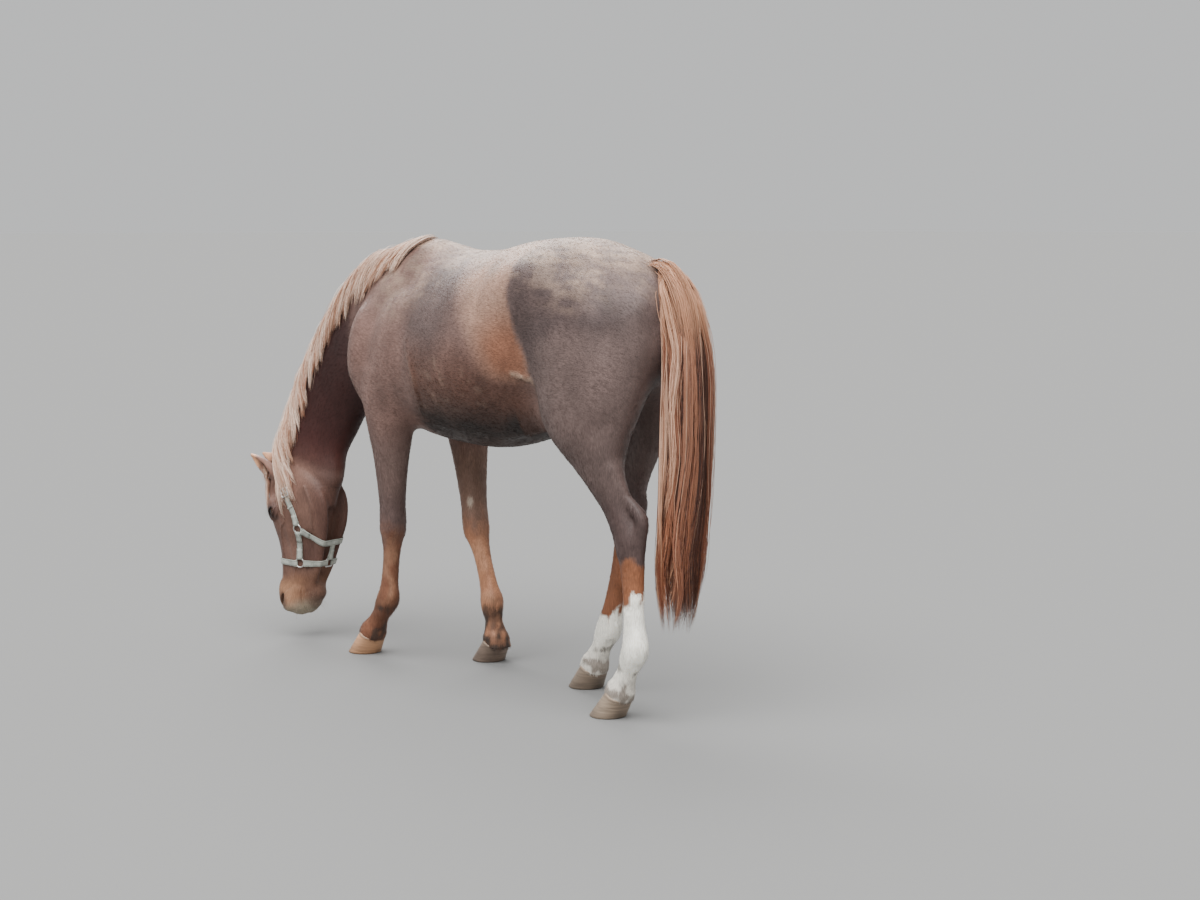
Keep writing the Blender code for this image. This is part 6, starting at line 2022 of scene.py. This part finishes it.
def make_straps(ways, pieces, web):
    """Each strap, folded over its rings' wires, and the stitches along and across it."""
    ends = dict(crown=(RING, RING), cheek_left=(RING, RING), cheek_right=(RING, RING),
                throat=(RING, RING), chin_left=(RING, SQUARE), chin_right=(SQUARE, RING),
                nose=(RING, RING), chin_strap=(None, SQUARE))
    thread = new_material("thread", {"Base Color": (*THREAD, 1), "Roughness": .8})[0]
    stitches = stitch_tree(thread)
    for name, way in ways.items():
        path, side = belt_path(way, pieces, *ends[name])
        along = unit(np.gradient(path, axis=0))
        level = unit(side - along * (along * side).sum(1, keepdims=True))
        mesh, out = belt_mesh("webbing", path, level, webbing_outline())
        piece("webbing_" + name, mesh, web, "webbing", "strap_" + name)
        top = path + out * (WEAVE_THICK / 2)
        lines = [top + side * edge for edge in (-STITCH_LINE, STITCH_LINE)]
        for has_ring, spot in zip(ends[name], (1, -2)):
            if has_ring:
                lines.append(top[spot] + side[spot] * np.array([[-STITCH_LINE], [STITCH_LINE]]))
        stitched("stitches_" + name, lines, *stitches, thread)


def steel_material():
    made, tree, shader = new_material("steel_fittings", {"Base Color": (*STEEL, 1), "Metallic": 1.0})
    wear = {"Value": stretched_noise(tree, (160, 160, 160), 4.0), "To Min": .22, "To Max": .55}
    rough = node(tree, "ShaderNodeMapRange", wear).outputs["Result"]
    tree.links.new(rough, shader.inputs["Roughness"])
    return made


def make_rings(ways, pieces, steel):
    turn = np.linspace(0, 2 * pi, 56, endpoint=False)[:, None]
    for name, place in (("upper", UPPER_RING), ("lower", LOWER_RING)):
        for side_name, side in (("left", 1), ("right", -1)):
            spot = settle(on_head(place[0], side * place[1], place[2])[None], pieces, RING_HEIGHT)[0]
            _, x, y = axes_at(spot, H_DOWN, pieces)
            way = spot + RING * (np.cos(turn) * x + np.sin(turn) * y)
            ring = f"ring_{name}_{side_name}"
            metal_piece(ring + "_wire", [wire_mesh(way, RING_WIRE)], steel, ring)
    chin = ways["chin_left"][-1]
    out, x, y = axes_at(chin, H_DOWN, pieces)
    way = square_way(chin + out * (RING_HEIGHT - LIFT), x, y, SQUARE)
    metal_piece("ring_chin_wire", [wire_mesh(way, RING_WIRE)], steel, "ring_chin")


def make_buckle(crown, pieces, steel, web):
    """The buckle on the crown strap, with its bar and tongue, and a keeper on each side of it."""
    at = round(BUCKLE * (len(crown) - 1) / 2)
    out, x, y = axes_at(crown[at], unit(crown[at + 2] - crown[at - 2]), pieces)
    centre = crown[at] + out * (WEB_THICK / 2 + RING_WIRE + GAP)
    bar = bar_mesh(centre - x * (SQUARE - .001), centre + x * (SQUARE - .001), .0018)
    tongue = bar_mesh(centre + out * .0022, centre + y * (SQUARE + .001) + out * .0030, .0014)
    sides = wire_mesh(square_way(centre, x, y, SQUARE), RING_WIRE * .9)
    metal_piece("buckle_frame", [sides, bar, tongue], steel, "buckle")
    for number, i in enumerate((at - 12, at + 12), 1):
        way = unit(crown[i + 2] - crown[i - 2])
        out, x, _ = axes_at(crown[i], way, pieces)
        loop = [crown[i] + out * (height + .0004) + x * off for off, height in KEEPER]
        loop = even(np.array(loop + loop[:1]), .0015)
        outline = webbing_outline() * (KEEPER_WIDTH, KEEPER_THICK)
        mesh, _ = belt_mesh("keeper", loop, np.broadcast_to(way, loop.shape), outline)
        piece(f"keeper_{number}", mesh, web, "webbing")


def make_headcollar(pieces):
    ways = straps(pieces, LIFT)
    web, steel = webbing_material(), steel_material()
    make_straps(ways, pieces, web)
    make_rings(ways, pieces, steel)
    make_buckle(ways["crown"], pieces, steel, web)


# ---- the floor, the light and the camera

CAMERA_PLACE, CAMERA_TURN, CAMERA_DOWN = (4.4228, 5.8262, 1.5348), 139.57, 6.025
LENS = 64.47
PAINT, SKY, SKY_STRENGTH = (.212, .212, .209), (.985, .995, 1.0), .69
SUNS = (("sky", 6.4, 65, 122, 64), ("back_light", 3.5, 45, 335, 38))    # as sun takes them


def sun(name, strength, spread, around, high):
    """Even, soft light from this far round from the front by the left, and this high."""
    light = bpy.data.lights.new(name, "SUN")
    light.energy = strength
    light.angle = radians(spread)
    made = bpy.data.objects.new(name, light)
    turn, rise = radians(around), radians(high)
    place = Vector((sin(turn) * cos(rise), -cos(turn) * cos(rise), sin(rise)))
    made.rotation_euler = (-place).to_track_quat("-Z", "Y").to_euler()
    bpy.context.scene.collection.objects.link(made)


def make_stage():
    bpy.ops.mesh.primitive_plane_add(size=600, location=(0, 0, 0))
    floor = bpy.context.active_object
    floor.name = "floor"
    paint = {"Base Color": (*PAINT, 1), "Roughness": .95, "Specular IOR Level": 0}
    floor.data.materials.append(new_material("floor_paint", paint)[0])
    world = bpy.data.worlds.new("studio")
    bpy.context.scene.world = world
    world.use_nodes = True
    world.node_tree.nodes["Background"].inputs["Color"].default_value = (*SKY, 1)
    world.node_tree.nodes["Background"].inputs["Strength"].default_value = SKY_STRENGTH
    for settings in SUNS:
        sun(*settings)
    turn, down = radians(CAMERA_TURN), radians(CAMERA_DOWN)
    back = Vector((sin(turn), -cos(turn), 0))
    ahead = -back * cos(down) - Vector((0, 0, 1)) * sin(down)
    camera = bpy.data.cameras.new("camera")
    camera.lens = LENS
    camera.sensor_width = 36
    made = bpy.data.objects.new("camera", camera)
    made.location = CAMERA_PLACE
    made.rotation_euler = ahead.to_track_quat("-Z", "Y").to_euler()
    bpy.context.scene.collection.objects.link(made)
    bpy.context.scene.camera = made


def build():
    flesh = body() + ear(1) + ear(-1)
    pieces = flesh + face_details(flesh) + body_details(flesh)
    points, triangles, facing = make_skin(pieces)
    make_coat(points, triangles, facing, strand_material("coat_tufts", .55, .02, .25))
    long_hair = strand_material("long_hair", .5, .06)
    make_bristles(flesh, long_hair)
    make_mane(flesh, long_hair)
    make_forelock(flesh, long_hair)
    make_headcollar(body())
    make_tail(strand_material("tail_hair", .5, .06))
    for side, name in ((1, "left"), (-1, "right")):
        make_eye(side, name)
    horn = hoof_material()
    for foot in feet():
        make_hoof(*foot, horn)
    make_stage()


build()
